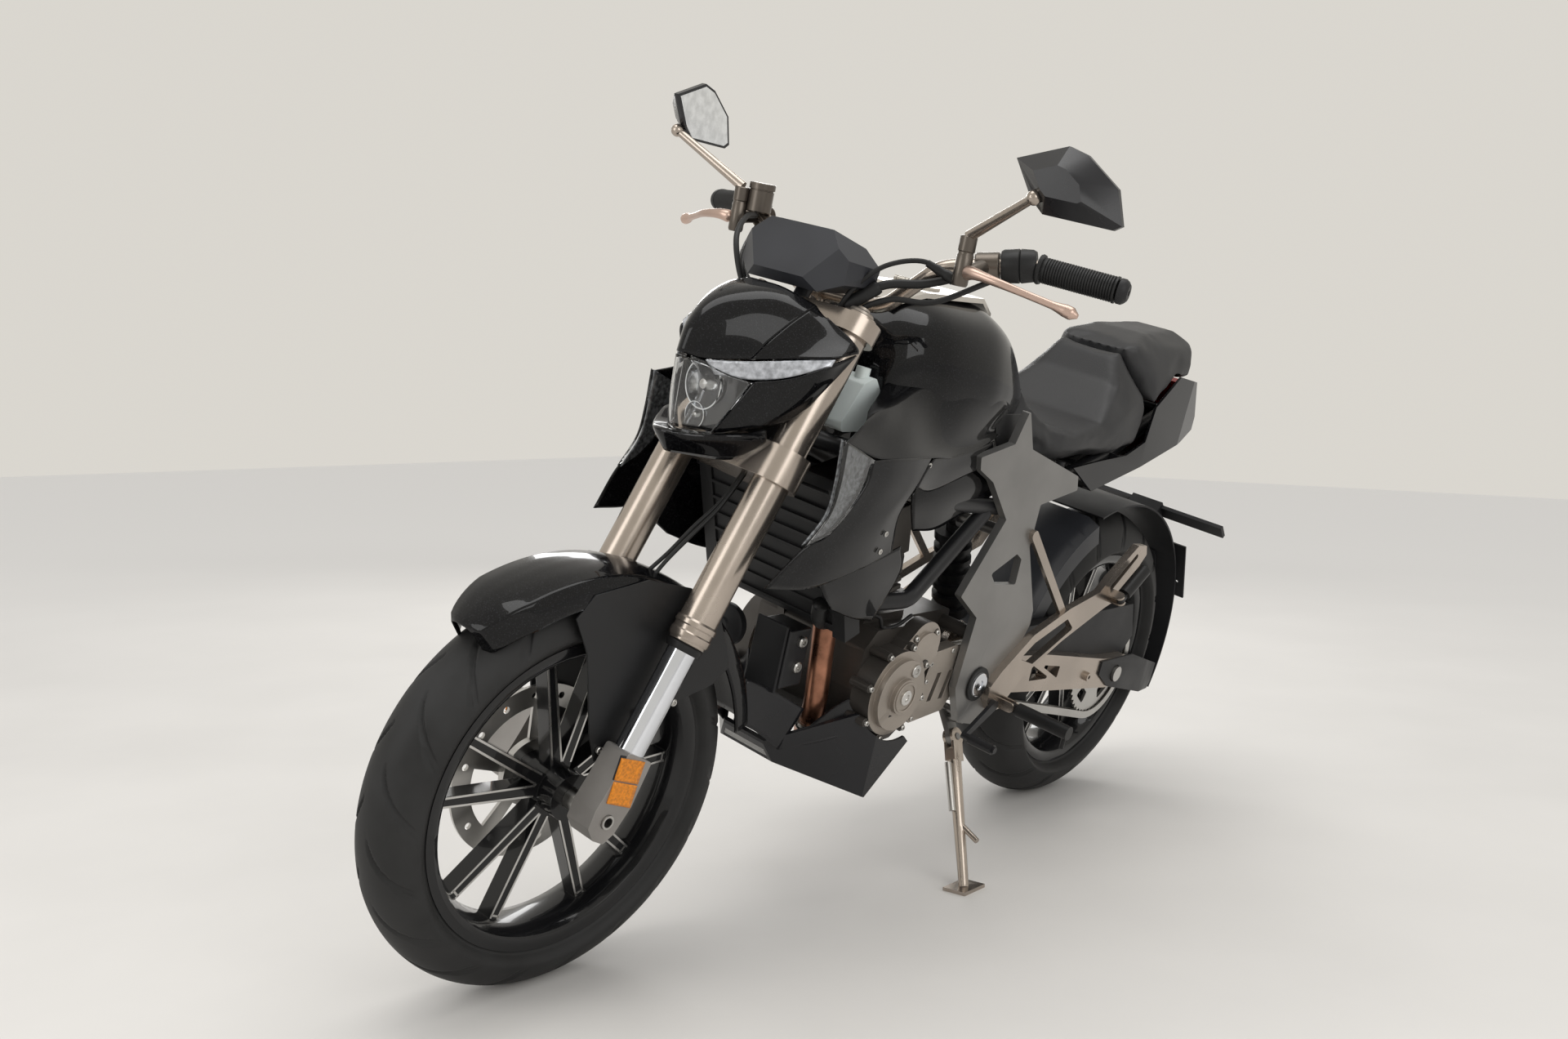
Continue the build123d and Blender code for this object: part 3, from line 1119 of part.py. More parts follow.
STEERING = {
    "fork_outer_tubes": fork_outer_tubes, "fork_inner_tubes": fork_inner_tubes,
    "fork_feet": fork_feet, "front_axle": front_axle, "fork_clamps": fork_clamps,
    "handlebar": handlebar, "grips": grips, "hand_controls": hand_controls,
    "mirror_stems": mirror_stems, "mirror_heads": mirror_heads, "dash": dash,
    "headlight_housing": headlight_housing, "headlight_lens": headlight_lens,
    "front_fender": front_fender, "front_caliper": front_caliper,
}
FRONT_WHEEL = {
    "front_tyre": lambda: at_axle(tyre(*FRONT_TYRE), FRONT_AXLE),
    "front_rim": lambda: at_axle(rim(FRONT_RIM_HALF, FRONT_HUB_HALF), FRONT_AXLE),
    "front_disc": lambda: at_axle(brake_disc(FRONT_DISC_RADIUS, FRONT_DISC_Y, -FRONT_HUB_HALF), FRONT_AXLE),
}
REAR_WHEEL = {
    "rear_tyre": lambda: at_axle(tyre(*REAR_TYRE), REAR_AXLE),
    "rear_rim": lambda: at_axle(rim(REAR_RIM_HALF, REAR_HUB_HALF), REAR_AXLE),
    "rear_sprocket": lambda: at_axle(rear_sprocket(), REAR_AXLE),
    "rear_disc": lambda: at_axle(brake_disc(REAR_DISC_RADIUS, REAR_DISC_Y, -REAR_HUB_HALF), REAR_AXLE),
}
PILLION_PIN = Vector(*PILLION_FOLDED).cross(Vector(0, 1, 0))
SMALL_BODIES = {
    "fuel_cap": fuel_cap,
    "side_stand": side_stand, "stand_spring": stand_spring,
    "rider_peg_left": lambda: peg(RIDER_PEG, (0, 1, 0), (1, 0, 0), 118, True),
    "rider_peg_right": lambda: mirrored(peg(RIDER_PEG, (0, 1, 0), (1, 0, 0), 118, True)),
    "pillion_peg_left": lambda: peg(PILLION_PEG, PILLION_FOLDED, PILLION_PIN, 88, False),
    "pillion_peg_right": lambda: mirrored(peg(PILLION_PEG, PILLION_FOLDED, PILLION_PIN, 88, False)),
}


def solids_of(shape):
    """The separate solids of a piece, or of a list of pieces."""
    pieces = shape if isinstance(shape, list) else [shape]
    return [solid for piece in pieces for solid in piece.solids()]


def main():
    placed = {}
    for group, turn in ((CHASSIS, 0), (SMALL_BODIES, 0), (REAR_WHEEL, 0), (STEERING, PARKED_STEER),
                        (FRONT_WHEEL, PARKED_STEER)):
        for name, make in group.items():
            solids = [solid.rotate(STEER_AXIS, turn).moved(PARKED) for solid in solids_of(make())]
            placed[name] = Compound(solids)
    box = Compound(list(placed.values())).bounding_box()
    centre = Pos(-(box.min.X + box.max.X) / 2, -(box.min.Y + box.max.Y) / 2, 0)
    print("row origin, from the parked bike's", centre.position)
    os.makedirs("parts", exist_ok=True)
    for name, shape in placed.items():
        export_step(centre * shape, f"parts/{name}.step")


if __name__ == "__main__":
    main()
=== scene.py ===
# %% [markdown]
# # A sport bike on its side stand, dressed for a render
#
# The exact model of the bike comes in first and never moves. Everything made below is a
# skin, a trim or a soft part that is laid over it, in the same frame and in metres.

import bpy
import numpy as np
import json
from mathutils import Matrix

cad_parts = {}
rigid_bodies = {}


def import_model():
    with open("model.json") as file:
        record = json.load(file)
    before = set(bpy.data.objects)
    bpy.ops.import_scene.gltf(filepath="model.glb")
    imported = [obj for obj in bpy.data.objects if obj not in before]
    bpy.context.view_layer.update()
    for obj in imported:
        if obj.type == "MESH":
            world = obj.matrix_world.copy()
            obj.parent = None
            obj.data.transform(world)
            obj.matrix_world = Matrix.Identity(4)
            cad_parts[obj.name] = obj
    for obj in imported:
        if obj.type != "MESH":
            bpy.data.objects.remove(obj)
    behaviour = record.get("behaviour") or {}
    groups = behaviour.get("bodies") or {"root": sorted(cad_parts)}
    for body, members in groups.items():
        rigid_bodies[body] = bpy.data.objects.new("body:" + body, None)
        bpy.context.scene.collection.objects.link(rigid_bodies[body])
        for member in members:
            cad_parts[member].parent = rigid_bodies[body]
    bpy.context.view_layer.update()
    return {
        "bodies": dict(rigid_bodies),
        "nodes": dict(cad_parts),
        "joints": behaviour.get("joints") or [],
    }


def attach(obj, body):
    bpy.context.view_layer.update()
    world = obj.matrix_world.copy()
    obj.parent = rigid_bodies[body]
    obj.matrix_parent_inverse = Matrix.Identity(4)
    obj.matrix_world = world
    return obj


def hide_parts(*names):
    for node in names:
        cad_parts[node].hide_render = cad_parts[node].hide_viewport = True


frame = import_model()
JOINTS = {j["name"]: j for j in frame["joints"]}

# %% [markdown]
# ## Two rulers
#
# The bike leans to the left and its bars are turned a little. It is easier to draw each piece
# on the upright bike and carry the points over. The hub and steering joints of the exact
# model give both frames: one of the bike, x forward from the rear axle and z up from the
# floor, and one of the fork, f ahead of the legs, y left and h up from the front axle.
# Both take millimetres, because a maker's drawing does.

# %% The bike's ruler and the fork's ruler
MM = 0.001
REAR_RADIUS, FRONT_RADIUS, WHEELBASE, RAKE = 312.0, 293.0, 1385.0, np.radians(25.5)


def unit(v):
    v = np.asarray(v, float)
    return v / np.linalg.norm(v)


REAR_HUB = np.array(JOINTS["rear_wheel_spin"]["pos_m"])
FRONT_HUB = np.array(JOINTS["front_wheel_spin"]["pos_m"])
LEFT = unit(JOINTS["rear_wheel_spin"]["axis"])
UP = unit(np.cross([1, 0, 0], LEFT))
AHEAD = np.cross(LEFT, UP)
FORK_LEFT = unit(JOINTS["front_wheel_spin"]["axis"])
FORK_UP = unit(JOINTS["steering"]["axis"])
FORK_AHEAD = np.cross(FORK_LEFT, FORK_UP)
FORWARD = FORK_AHEAD * np.cos(RAKE) - FORK_UP * np.sin(RAKE)    # level and ahead, as the bars point


def bike(x, y, z):
    """Points of the upright bike, in the row frame: hub + x ahead + y left + z up."""
    x, y, z = np.broadcast_arrays(*(np.asarray(a, float) * MM for a in (x, y, z)))
    return REAR_HUB + x[..., None] * AHEAD + y[..., None] * LEFT + (z[..., None] - REAR_RADIUS * MM) * UP


def fork(f, y, h):
    """Points given along the fork, in the row frame."""
    f, y, h = np.broadcast_arrays(*(np.asarray(a, float) * MM for a in (f, y, h)))
    return FRONT_HUB + f[..., None] * FORK_AHEAD + y[..., None] * FORK_LEFT + h[..., None] * FORK_UP


def steered(x, y, z):
    """Points drawn on the upright bike with straight bars, for a piece that turns with them."""
    dx, dz = np.asarray(x, float) - WHEELBASE, np.asarray(z, float) - FRONT_RADIUS
    return fork(dx * np.cos(RAKE) + dz * np.sin(RAKE), y, dz * np.cos(RAKE) - dx * np.sin(RAKE))


print("lean", round(float(np.degrees(np.arcsin(-LEFT[2]))), 2), "degrees")

# %% [markdown]
# ## Camera
#
# The camera goes in before any piece, so that each draft can be judged from the same place.
# Its direction is written as yaw, pitch and roll, and the lens as a focal length over a
# 36 mm wide sensor.

# %% Camera
CAMERA_AT = (2.05210, 1.34540, 0.83339)
CAMERA_YAW, CAMERA_DOWN, CAMERA_ROLL = 219.951, 4.958, 0.803
LENS_MM = 33.97


def camera_axes(yaw, down, roll):
    """Right and up of the view: level axes of the sight line, then turned by the roll about it."""
    yaw, down, roll = np.radians((yaw, down, roll))
    sight = np.array([np.cos(yaw) * np.cos(down), np.sin(yaw) * np.cos(down), -np.sin(down)])
    right = unit(np.cross(sight, [0, 0, 1]))
    top = np.cross(right, sight)
    return (np.cos(roll) * right + np.sin(roll) * top, np.cos(roll) * top - np.sin(roll) * right, -sight)


from mathutils import Matrix

camera = bpy.data.objects.new("camera", bpy.data.cameras.new("camera"))
bpy.context.scene.collection.objects.link(camera)
camera.data.lens, camera.data.sensor_width = LENS_MM, 36.0
turn = np.eye(4)
turn[:3, :3] = np.array(camera_axes(CAMERA_YAW, CAMERA_DOWN, CAMERA_ROLL)).T
turn[:3, 3] = CAMERA_AT
camera.matrix_world = Matrix(turn.tolist())
bpy.context.scene.camera = camera
bpy.context.scene.view_settings.view_transform = "Standard"

# %% [markdown]
# ## Floor and light
#
# Glossy black paint shows little but what it mirrors. So the light is a few wide, soft panels
# and a pale world, whose mirror images draw the creases of the bodywork. The world looks
# pale to the eye and to mirrors, but lights the bike only mildly.

# %% Floor, world and lamps
def new_nodes(tree_owner):
    tree_owner.use_nodes = True
    tree = tree_owner.node_tree
    tree.nodes.clear()
    return tree.nodes, tree.links


def noise(nodes, links, scale, detail=3.0, where=None, source="Object"):
    tex = nodes.new("ShaderNodeTexNoise")
    tex.inputs["Scale"].default_value = scale
    tex.inputs["Detail"].default_value = detail
    if where is None:
        where = nodes.new("ShaderNodeTexCoord").outputs[source]
    links.new(where, tex.inputs["Vector"])
    return tex


def ramp(nodes, links, value, low, high, at=(0.35, 0.65)):
    """Colour that runs from low to high as the value passes between the two places."""
    node = nodes.new("ShaderNodeValToRGB")
    for element, place, colour in zip(node.color_ramp.elements, at, (low, high)):
        element.position, element.color = place, (*colour, 1)
    links.new(value, node.inputs["Fac"])
    return node.outputs["Color"]


def spread(nodes, links, value, low, high):
    node = nodes.new("ShaderNodeMapRange")
    node.inputs["From Min"].default_value, node.inputs["From Max"].default_value = 0.3, 0.7
    node.inputs["To Min"].default_value, node.inputs["To Max"].default_value = low, high
    links.new(value, node.inputs["Value"])
    return node.outputs["Result"]


FLOOR_COLOUR = (0.66, 0.63, 0.585)
WORLD_COLOUR = (0.70, 0.675, 0.625)

floor_data = bpy.data.meshes.new("floor")
floor_data.from_pydata([(-12, -12, 0), (12, -12, 0), (12, 12, 0), (-12, 12, 0)], [], [(0, 1, 2, 3)])
floor = bpy.data.objects.new("floor", floor_data)
bpy.context.scene.collection.objects.link(floor)
floor_finish = bpy.data.materials.new("floor_concrete")
nodes, links = new_nodes(floor_finish)
shader = nodes.new("ShaderNodeBsdfPrincipled")
shader.inputs["Roughness"].default_value = 0.7
cloud = noise(nodes, links, 1.7, 6.0)
near = ramp(nodes, links, cloud.outputs["Fac"], tuple(c * 0.95 for c in FLOOR_COLOUR), FLOOR_COLOUR)
far_off = nodes.new("ShaderNodeVectorMath")
far_off.operation = "LENGTH"
links.new(nodes.new("ShaderNodeTexCoord").outputs["Object"], far_off.inputs[0])
way = nodes.new("ShaderNodeMapRange")
way.interpolation_type = "SMOOTHSTEP"
way.inputs["From Min"].default_value, way.inputs["From Max"].default_value = 1.6, 6.5
links.new(far_off.outputs["Value"], way.inputs["Value"])
paler = nodes.new("ShaderNodeMix")
paler.data_type = "RGBA"
links.new(way.outputs["Result"], paler.inputs["Factor"])
links.new(near, paler.inputs["A"])
paler.inputs["B"].default_value = (*(min(1.0, c * 1.17) for c in FLOOR_COLOUR), 1)
links.new(paler.outputs["Result"], shader.inputs["Base Color"])
links.new(shader.outputs[0], nodes.new("ShaderNodeOutputMaterial").inputs[0])
floor_data.materials.append(floor_finish)

world = bpy.data.worlds.new("pale_room")
bpy.context.scene.world = world
nodes, links = new_nodes(world)
seen, felt = nodes.new("ShaderNodeBackground"), nodes.new("ShaderNodeBackground")
seen.inputs["Color"].default_value, seen.inputs["Strength"].default_value = (*WORLD_COLOUR, 1), 1.0
felt.inputs["Color"].default_value, felt.inputs["Strength"].default_value = (0.95, 0.97, 1.0, 1), 0.86
path, mix = nodes.new("ShaderNodeLightPath"), nodes.new("ShaderNodeMixShader")
either = nodes.new("ShaderNodeMath")
either.operation = "MAXIMUM"
links.new(path.outputs["Is Camera Ray"], either.inputs[0])
glass = nodes.new("ShaderNodeMath")
glass.operation = "MAXIMUM"
links.new(path.outputs["Is Glossy Ray"], glass.inputs[0])
links.new(path.outputs["Is Transmission Ray"], glass.inputs[1])
links.new(glass.outputs[0], either.inputs[1])
links.new(either.outputs[0], mix.inputs["Fac"])
links.new(felt.outputs[0], mix.inputs[1])
links.new(seen.outputs[0], mix.inputs[2])
links.new(mix.outputs[0], nodes.new("ShaderNodeOutputWorld").inputs["Surface"])

# Each lamp: name, place, point it faces, width and depth in metres, watts.
LAMPS = [("ceiling_panel", (0.4, 0.2, 3.4), (0.1, -0.2, 0.4), 3.2, 1.4, 40),
         ("window_left", (1.4, 3.4, 1.9), (0.2, -0.1, 0.6), 2.4, 1.8, 32),
         ("window_front", (3.6, -0.8, 1.8), (0.4, -0.2, 0.6), 1.4, 2.0, 20),
         ("back_strip", (-2.6, -2.6, 2.2), (0.0, -0.2, 0.7), 2.4, 0.8, 35)]
for name, place, target, width, depth, watts in LAMPS:
    lamp = bpy.data.lights.new(name, "AREA")
    lamp.shape, lamp.size, lamp.size_y, lamp.energy = "RECTANGLE", width, depth, watts
    holder = bpy.data.objects.new(name, lamp)
    bpy.context.scene.collection.objects.link(holder)
    back = unit(np.subtract(place, target))
    across = unit(np.cross([0, 0, 1], back))
    turn = np.eye(4)
    turn[:3, :3] = np.array([across, np.cross(back, across), back]).T
    turn[:3, 3] = place
    holder.matrix_world = Matrix(turn.tolist())
print("lamps", len(LAMPS))

# %% [markdown]
# ## Finishes
#
# One recipe serves most hard surfaces: a slow noise moves the colour and the roughness a
# little, as handling and dust do, and a fine noise gives the grain as bump. What is the same
# all over a surface, such as metalness or the clear coat, is set on the shader's own socket.

# %% The recipe for a hard finish
def finish(name, colour, rough, metal=0.0, mottle=0.10, cloud=9.0, grain=600.0, bump=0.02, coat=0.0,
           fleck=None, specular=0.5, clear=0.0, glow=None):
    """Principled shader: colour and roughness from a slow noise, bump from a fine one."""
    made = bpy.data.materials.new(name)
    nodes, links = new_nodes(made)
    shader = nodes.new("ShaderNodeBsdfPrincipled")
    shader.inputs["Metallic"].default_value = metal
    shader.inputs["Specular IOR Level"].default_value = specular
    shader.inputs["Coat Weight"].default_value = coat
    shader.inputs["Coat Roughness"].default_value = 0.03
    shader.inputs["Transmission Weight"].default_value = clear
    slow = noise(nodes, links, cloud, 5.0)
    low, high = (tuple(min(1.0, c * k) for c in colour) for k in (1 - mottle, 1 + mottle))
    tint = ramp(nodes, links, slow.outputs["Fac"], low, high)
    if fleck is not None:
        speck = nodes.new("ShaderNodeTexVoronoi")
        speck.inputs["Scale"].default_value = 900.0
        links.new(nodes.new("ShaderNodeTexCoord").outputs["Object"], speck.inputs["Vector"])
        blend = nodes.new("ShaderNodeMix")
        blend.data_type = "RGBA"
        links.new(ramp(nodes, links, speck.outputs["Color"], (0, 0, 0), (1, 1, 1), (0.72, 0.98)),
                  blend.inputs["Factor"])
        links.new(tint, blend.inputs["A"])
        blend.inputs["B"].default_value = (*fleck, 1)
        tint = blend.outputs["Result"]
    links.new(tint, shader.inputs["Base Color"])
    links.new(spread(nodes, links, slow.outputs["Fac"], rough * 0.85, min(1.0, rough * 1.2)),
              shader.inputs["Roughness"])
    fine = noise(nodes, links, grain, 2.0)
    relief = nodes.new("ShaderNodeBump")
    relief.inputs["Strength"].default_value = 1.0
    relief.inputs["Distance"].default_value = bump * MM
    links.new(fine.outputs["Fac"], relief.inputs["Height"])
    links.new(relief.outputs["Normal"], shader.inputs["Normal"])
    if glow:
        shader.inputs["Emission Color"].default_value = (*glow[:3], 1)
        shader.inputs["Emission Strength"].default_value = glow[3]
    links.new(shader.outputs[0], nodes.new("ShaderNodeOutputMaterial").inputs[0])
    return made


# %% The bike's finishes
GLOSS_BLACK = finish("gloss_black_fleck", (0.0028, 0.0028, 0.0032), 0.20, mottle=0.2, bump=0.001,
                     coat=0.45, specular=0.05, fleck=(0.022, 0.022, 0.024))
SILVER = finish("silver_paint", (0.60, 0.565, 0.51), 0.30, metal=0.85, grain=1500, bump=0.01)
CHAMPAGNE = finish("champagne_metal", (0.42, 0.365, 0.315), 0.24, metal=0.92, grain=1400, bump=0.003)
ROSE = finish("rose_metal", (0.56, 0.41, 0.34), 0.32, metal=0.85, grain=1200, bump=0.02)
PLATE_GREY = finish("grey_metallic_paint", (0.22, 0.214, 0.205), 0.34, metal=0.7, grain=1400, bump=0.02)
RIM_BLACK = finish("gloss_black_wheel", (0.006, 0.006, 0.0065), 0.20, mottle=0.15, bump=0.002, coat=0.45, specular=0.2)
BLACK_METAL = finish("black_powder_coat", (0.012, 0.012, 0.013), 0.36, specular=0.35, mottle=0.2, grain=1200, bump=0.03)
# Painted shade: the engine's bronze castings get a colour darker than their own, standing for the shade that falls on
# the engine under the bodywork.
ENGINE_SHADED = finish("bronze_casting_painted_shade", (0.052, 0.046, 0.040), 0.42, metal=0.4, mottle=0.16, grain=520, bump=0.12)
COVER = finish("light_bronze_casting", (0.35, 0.31, 0.27), 0.38, metal=0.75, grain=700, bump=0.06)
CASTING = finish("grey_casting", (0.30, 0.285, 0.27), 0.50, metal=0.8, mottle=0.15, grain=480, bump=0.16)
CHROME = finish("hard_chrome", (0.72, 0.74, 0.78), 0.10, metal=1.0, mottle=0.05, bump=0.001)
STEEL = finish("brushed_steel", (0.50, 0.49, 0.47), 0.32, metal=1.0, grain=900, bump=0.03)
ALLOY_BRIGHT = finish("machined_alloy", (0.66, 0.65, 0.63), 0.24, metal=1.0, grain=1500, bump=0.02)
COPPER = finish("heated_steel", (0.34, 0.16, 0.10), 0.30, metal=0.95, mottle=0.45, cloud=22, bump=0.02)
RUBBER_TYRE = finish("tyre_rubber", (0.016, 0.0157, 0.0154), 0.60, specular=0.35, mottle=0.35, cloud=14,
                     grain=900, bump=0.05)
RUBBER = finish("black_rubber", (0.011, 0.011, 0.011), 0.45, specular=0.3, mottle=0.25, grain=800, bump=0.05)
PLASTIC = finish("matt_black_plastic", (0.013, 0.013, 0.014), 0.50, specular=0.3, mottle=0.2, grain=1100, bump=0.08)
SATIN = finish("satin_black_plastic", (0.009, 0.009, 0.0105), 0.27, specular=0.4, mottle=0.15, grain=1500, bump=0.03)
DARK_GREY = finish("dark_grey_plastic", (0.026, 0.027, 0.031), 0.40, specular=0.4, mottle=0.12, grain=1300, bump=0.05)
SIDE_MATT = finish("matt_panel", (0.010, 0.010, 0.0105), 0.42, specular=0.35, mottle=0.2, grain=1800, bump=0.04)
CLEAR = finish("clear_polycarbonate", (0.96, 0.97, 0.98), 0.03, mottle=0.01, bump=0.0, clear=1.0)
LAMP_CLEAR = finish("ribbed_lamp_grey", (0.42, 0.43, 0.45), 0.22, metal=0.4, mottle=0.3, cloud=120, grain=300, bump=0.4)
LAMP_DARK = finish("lamp_inner_grey", (0.13, 0.135, 0.14), 0.2, metal=0.5, mottle=0.6, cloud=160, grain=260, bump=0.6)
MIRROR_FINISH = finish("bright_reflector", (0.82, 0.84, 0.86), 0.08, metal=1.0, mottle=0.12, cloud=70, bump=0.05)
RED = finish("red_lens", (0.30, 0.006, 0.006), 0.12, mottle=0.2, cloud=60, grain=260, bump=0.15, coat=0.6)
AMBER = finish("amber_reflector", (0.62, 0.20, 0.006), 0.20, mottle=0.25, cloud=260, grain=340, bump=0.4,
               coat=0.3, specular=0.3)
MILKY = finish("milky_plastic", (0.74, 0.80, 0.77), 0.36, mottle=0.06, grain=500, bump=0.03, clear=0.12)
CORE = finish("radiator_core", (0.013, 0.013, 0.0135), 0.5, metal=0.1, specular=0.3, grain=900, bump=0.06)
BRONZE = finish("bronze_anodised", (0.125, 0.108, 0.092), 0.30, metal=0.85, grain=1200, bump=0.02)
GLASS_DARK = finish("dark_display_glass", (0.006, 0.007, 0.009), 0.08, mottle=0.2, bump=0.0, coat=1.0)

# The finish of each exact piece that stays in view.
DRESS = {
    GLOSS_BLACK: ["fuel_tank", "shroud_left", "shroud_right", "tail_cowl", "headlight_housing", "front_fender"],
    SILVER: ["tank_cover", "fuel_cap"],
    CHAMPAGNE: ["fork_outer_tubes", "fork_clamps", "mirror_stems", "peg_brackets", "side_stand", "swingarm",
                "handlebar"],
    PLATE_GREY: ["frame_plates"],
    RIM_BLACK: ["front_rim", "rear_rim"],
    BLACK_METAL: ["frame", "shock", "front_caliper", "rear_caliper", "foot_controls", "muffler"],
    ENGINE_SHADED: ["crankcase", "cylinder"],
    COVER: ["engine_covers", "hand_controls"],
    CASTING: ["fork_feet"],
    CHROME: ["fork_inner_tubes"],
    STEEL: ["front_axle", "rear_axle", "front_disc", "rear_disc", "rear_sprocket", "chain", "stand_spring"],
    COPPER: ["header_pipe"],
    RUBBER_TYRE: ["front_tyre", "rear_tyre"],
    RUBBER: ["grips", "rider_peg_left", "rider_peg_right", "pillion_peg_left", "pillion_peg_right"],
    PLASTIC: ["rear_mudguard", "chain_guard", "rider_seat", "pillion_seat"],
    SATIN: ["belly_pan", "mirror_heads"],
    DARK_GREY: ["dash", "hugger"],
    CORE: ["radiator"],
    MILKY: ["coolant_bottle"],
    RED: ["tail_light"],
    CLEAR: ["headlight_lens", "front_indicators"],
}
for surface, names in DRESS.items():
    for name in names:
        materials = frame["nodes"][name].data.materials
        materials.clear()
        materials.append(surface)
bare = sorted(set(frame["nodes"]) - {n for names in DRESS.values() for n in names})
print("finishes", len(bpy.data.materials), "nodes without one", bare)

# %% [markdown]
# ## Surfaces from numbers
#
# Every new piece is a grid of points worked out with numpy. A closed skin joins the last
# column to the first and closes its two ends with a fan, and an open sheet gets its wall from
# Solidify. The same few helpers then serve the tyres, the bodywork and the cables.


def mesh_piece(name, points, quads, material, body, smooth=True, sharp=None):
    data = bpy.data.meshes.new(name)
    data.from_pydata(np.asarray(points, float).reshape(-1, 3).tolist(), [], [tuple(q) for q in quads])
    data.update()
    if smooth:
        data.polygons.foreach_set("use_smooth", [True] * len(data.polygons))
        if sharp is not None:
            data.set_sharp_from_angle(angle=np.radians(sharp))
    data.materials.append(material)
    piece = bpy.data.objects.new(name, data)
    bpy.context.scene.collection.objects.link(piece)
    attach(piece, body)
    return piece


def grid_quads(rows, columns, wrap_rows=False, wrap_columns=False):
    """Corner numbers of each cell of a grid, counted row by row."""
    r = np.arange(rows if wrap_rows else rows - 1)[:, None]
    c = np.arange(columns if wrap_columns else columns - 1)[None, :]
    r1, c1 = (r + 1) % rows, (c + 1) % columns
    cells = np.stack(np.broadcast_arrays(r * columns + c, r * columns + c1, r1 * columns + c1, r1 * columns + c), -1)
    return cells.reshape(-1, 4).tolist()


def skin(name, points, material, body, closed=True, caps=True, sharp=None):
    """Closed skin through rings of points (rings, points of a ring, 3), its ends fanned shut."""
    rings, around = points.shape[:2]
    quads = grid_quads(rings, around, wrap_columns=closed)
    flat = points.reshape(-1, 3)
    if caps:
        flat = np.vstack([flat, points[0].mean(0), points[-1].mean(0)])
        k = np.arange(around)
        first, last = rings * around, rings * around + 1
        end = (rings - 1) * around
        quads += [(first, b, a) for a, b in zip(k, (k + 1) % around)]
        quads += [(last, end + a, end + b) for a, b in zip(k, (k + 1) % around)]
    piece = mesh_piece(name, flat, quads, material, body, sharp=sharp)
    face_out(piece)
    return piece


def face_out(piece):
    """Merges doubles and turns the faces of a closed mesh outwards."""
    import bmesh
    work = bmesh.new()
    work.from_mesh(piece.data)
    bmesh.ops.remove_doubles(work, verts=work.verts, dist=1e-6)
    bmesh.ops.recalc_face_normals(work, faces=work.faces)
    work.to_mesh(piece.data)
    work.free()


def panel(name, points, material, body, wall=3.0, sharp=40, towards=None):
    """Open sheet over a grid of points, given a wall on its inner side. The outer side is the
    one that faces away from the point called towards."""
    rows, columns = points.shape[:2]
    quads = grid_quads(rows, columns)
    a, b, c = points[rows // 2, columns // 2], points[rows // 2 + 1, columns // 2], points[rows // 2, columns // 2 + 1]
    facing = np.dot(np.cross(c - a, b - a), a - np.asarray(towards))
    if facing < 0:
        quads = [q[::-1] for q in quads]
    piece = mesh_piece(name, points, quads, material, body, sharp=sharp)
    shell = piece.modifiers.new("wall", "SOLIDIFY")
    shell.thickness, shell.offset, shell.use_even_offset = wall * MM, -1, False
    return piece


def through(points, count):
    """Smooth line through the points along the first axis: on each stretch the cubic whose
    slope at a point is half the step from its neighbour before to its neighbour after."""
    p = np.asarray(points, float)
    ends = np.concatenate([2 * p[:1] - p[1:2], p, 2 * p[-1:] - p[-2:-1]])
    t = np.linspace(0, len(p) - 1, count)
    k = np.clip(t.astype(int), 0, len(p) - 2)
    u = (t - k).reshape((-1,) + (1,) * (p.ndim - 1))
    a, b, c, d = ends[k], ends[k + 1], ends[k + 2], ends[k + 3]
    return 0.5 * (2 * b + (c - a) * u + (2 * a - 5 * b + 4 * c - d) * u**2 + (3 * b - a - 3 * c + d) * u**3)


def patch(table, rows, columns):
    """Smooth surface through a table of points (rows, columns, 3)."""
    across = through(np.asarray(table, float), rows)
    return np.swapaxes(through(np.swapaxes(across, 0, 1), columns), 0, 1)


def tube(name, route, radius, material, body, sides=10, steps=48, place=bike):
    """Round hose along a smooth line through the route: each ring lies square to the line,
    carried on from the ring before by the least turn."""
    line = through(np.asarray(route, float), steps)
    centre = place(*line.T)
    along = np.gradient(centre, axis=0)
    along /= np.linalg.norm(along, axis=1)[:, None]
    side = unit(np.cross(along[0], [0.3, 0.2, 1.0]))
    sides_axis = []
    for direction in along:
        side = unit(side - direction * np.dot(side, direction))
        sides_axis.append(side)
    u = np.array(sides_axis)
    v = np.cross(along, u)
    turn = np.linspace(0, 2 * np.pi, sides, endpoint=False)
    r = np.broadcast_to(np.asarray(radius, float) * MM, len(centre)) if np.ndim(radius) < 1 else \
        np.interp(np.linspace(0, 1, len(centre)), np.linspace(0, 1, len(radius)), radius) * MM
    rings = centre[:, None] + r[:, None, None] * (np.cos(turn)[None, :,
                                                               None] * u[:, None] + np.sin(turn)[None, :, None] * v[:, None])
    return skin(name, rings, material, body)


def turned(name, profile, centre, axis, material, body, sides=48, sharp=35):
    """Solid of revolution: profile of (along, radius) in mm about an axis through centre."""
    axis = unit(axis)
    u = unit(np.cross(axis, [0.31, 0.87, 0.4]))
    v = np.cross(axis, u)
    along, radius = np.asarray(profile, float).T * MM
    turn = np.linspace(0, 2 * np.pi, sides, endpoint=False)
    ring = np.cos(turn)[:, None] * u + np.sin(turn)[:, None] * v
    rings = np.asarray(centre) + along[:, None, None] * axis + radius[:, None, None] * ring[None]
    return skin(name, rings, material, body, sharp=sharp)


# %% [markdown]
# ## Rounded edges
#
# A cast, moulded or pressed piece never has a knife edge: it has a small radius that catches
# the light. A copy of the exact mesh gets its triangles merged into flat faces, and a Bevel
# then rounds each edge sharper than 32 degrees by a width that suits the piece.

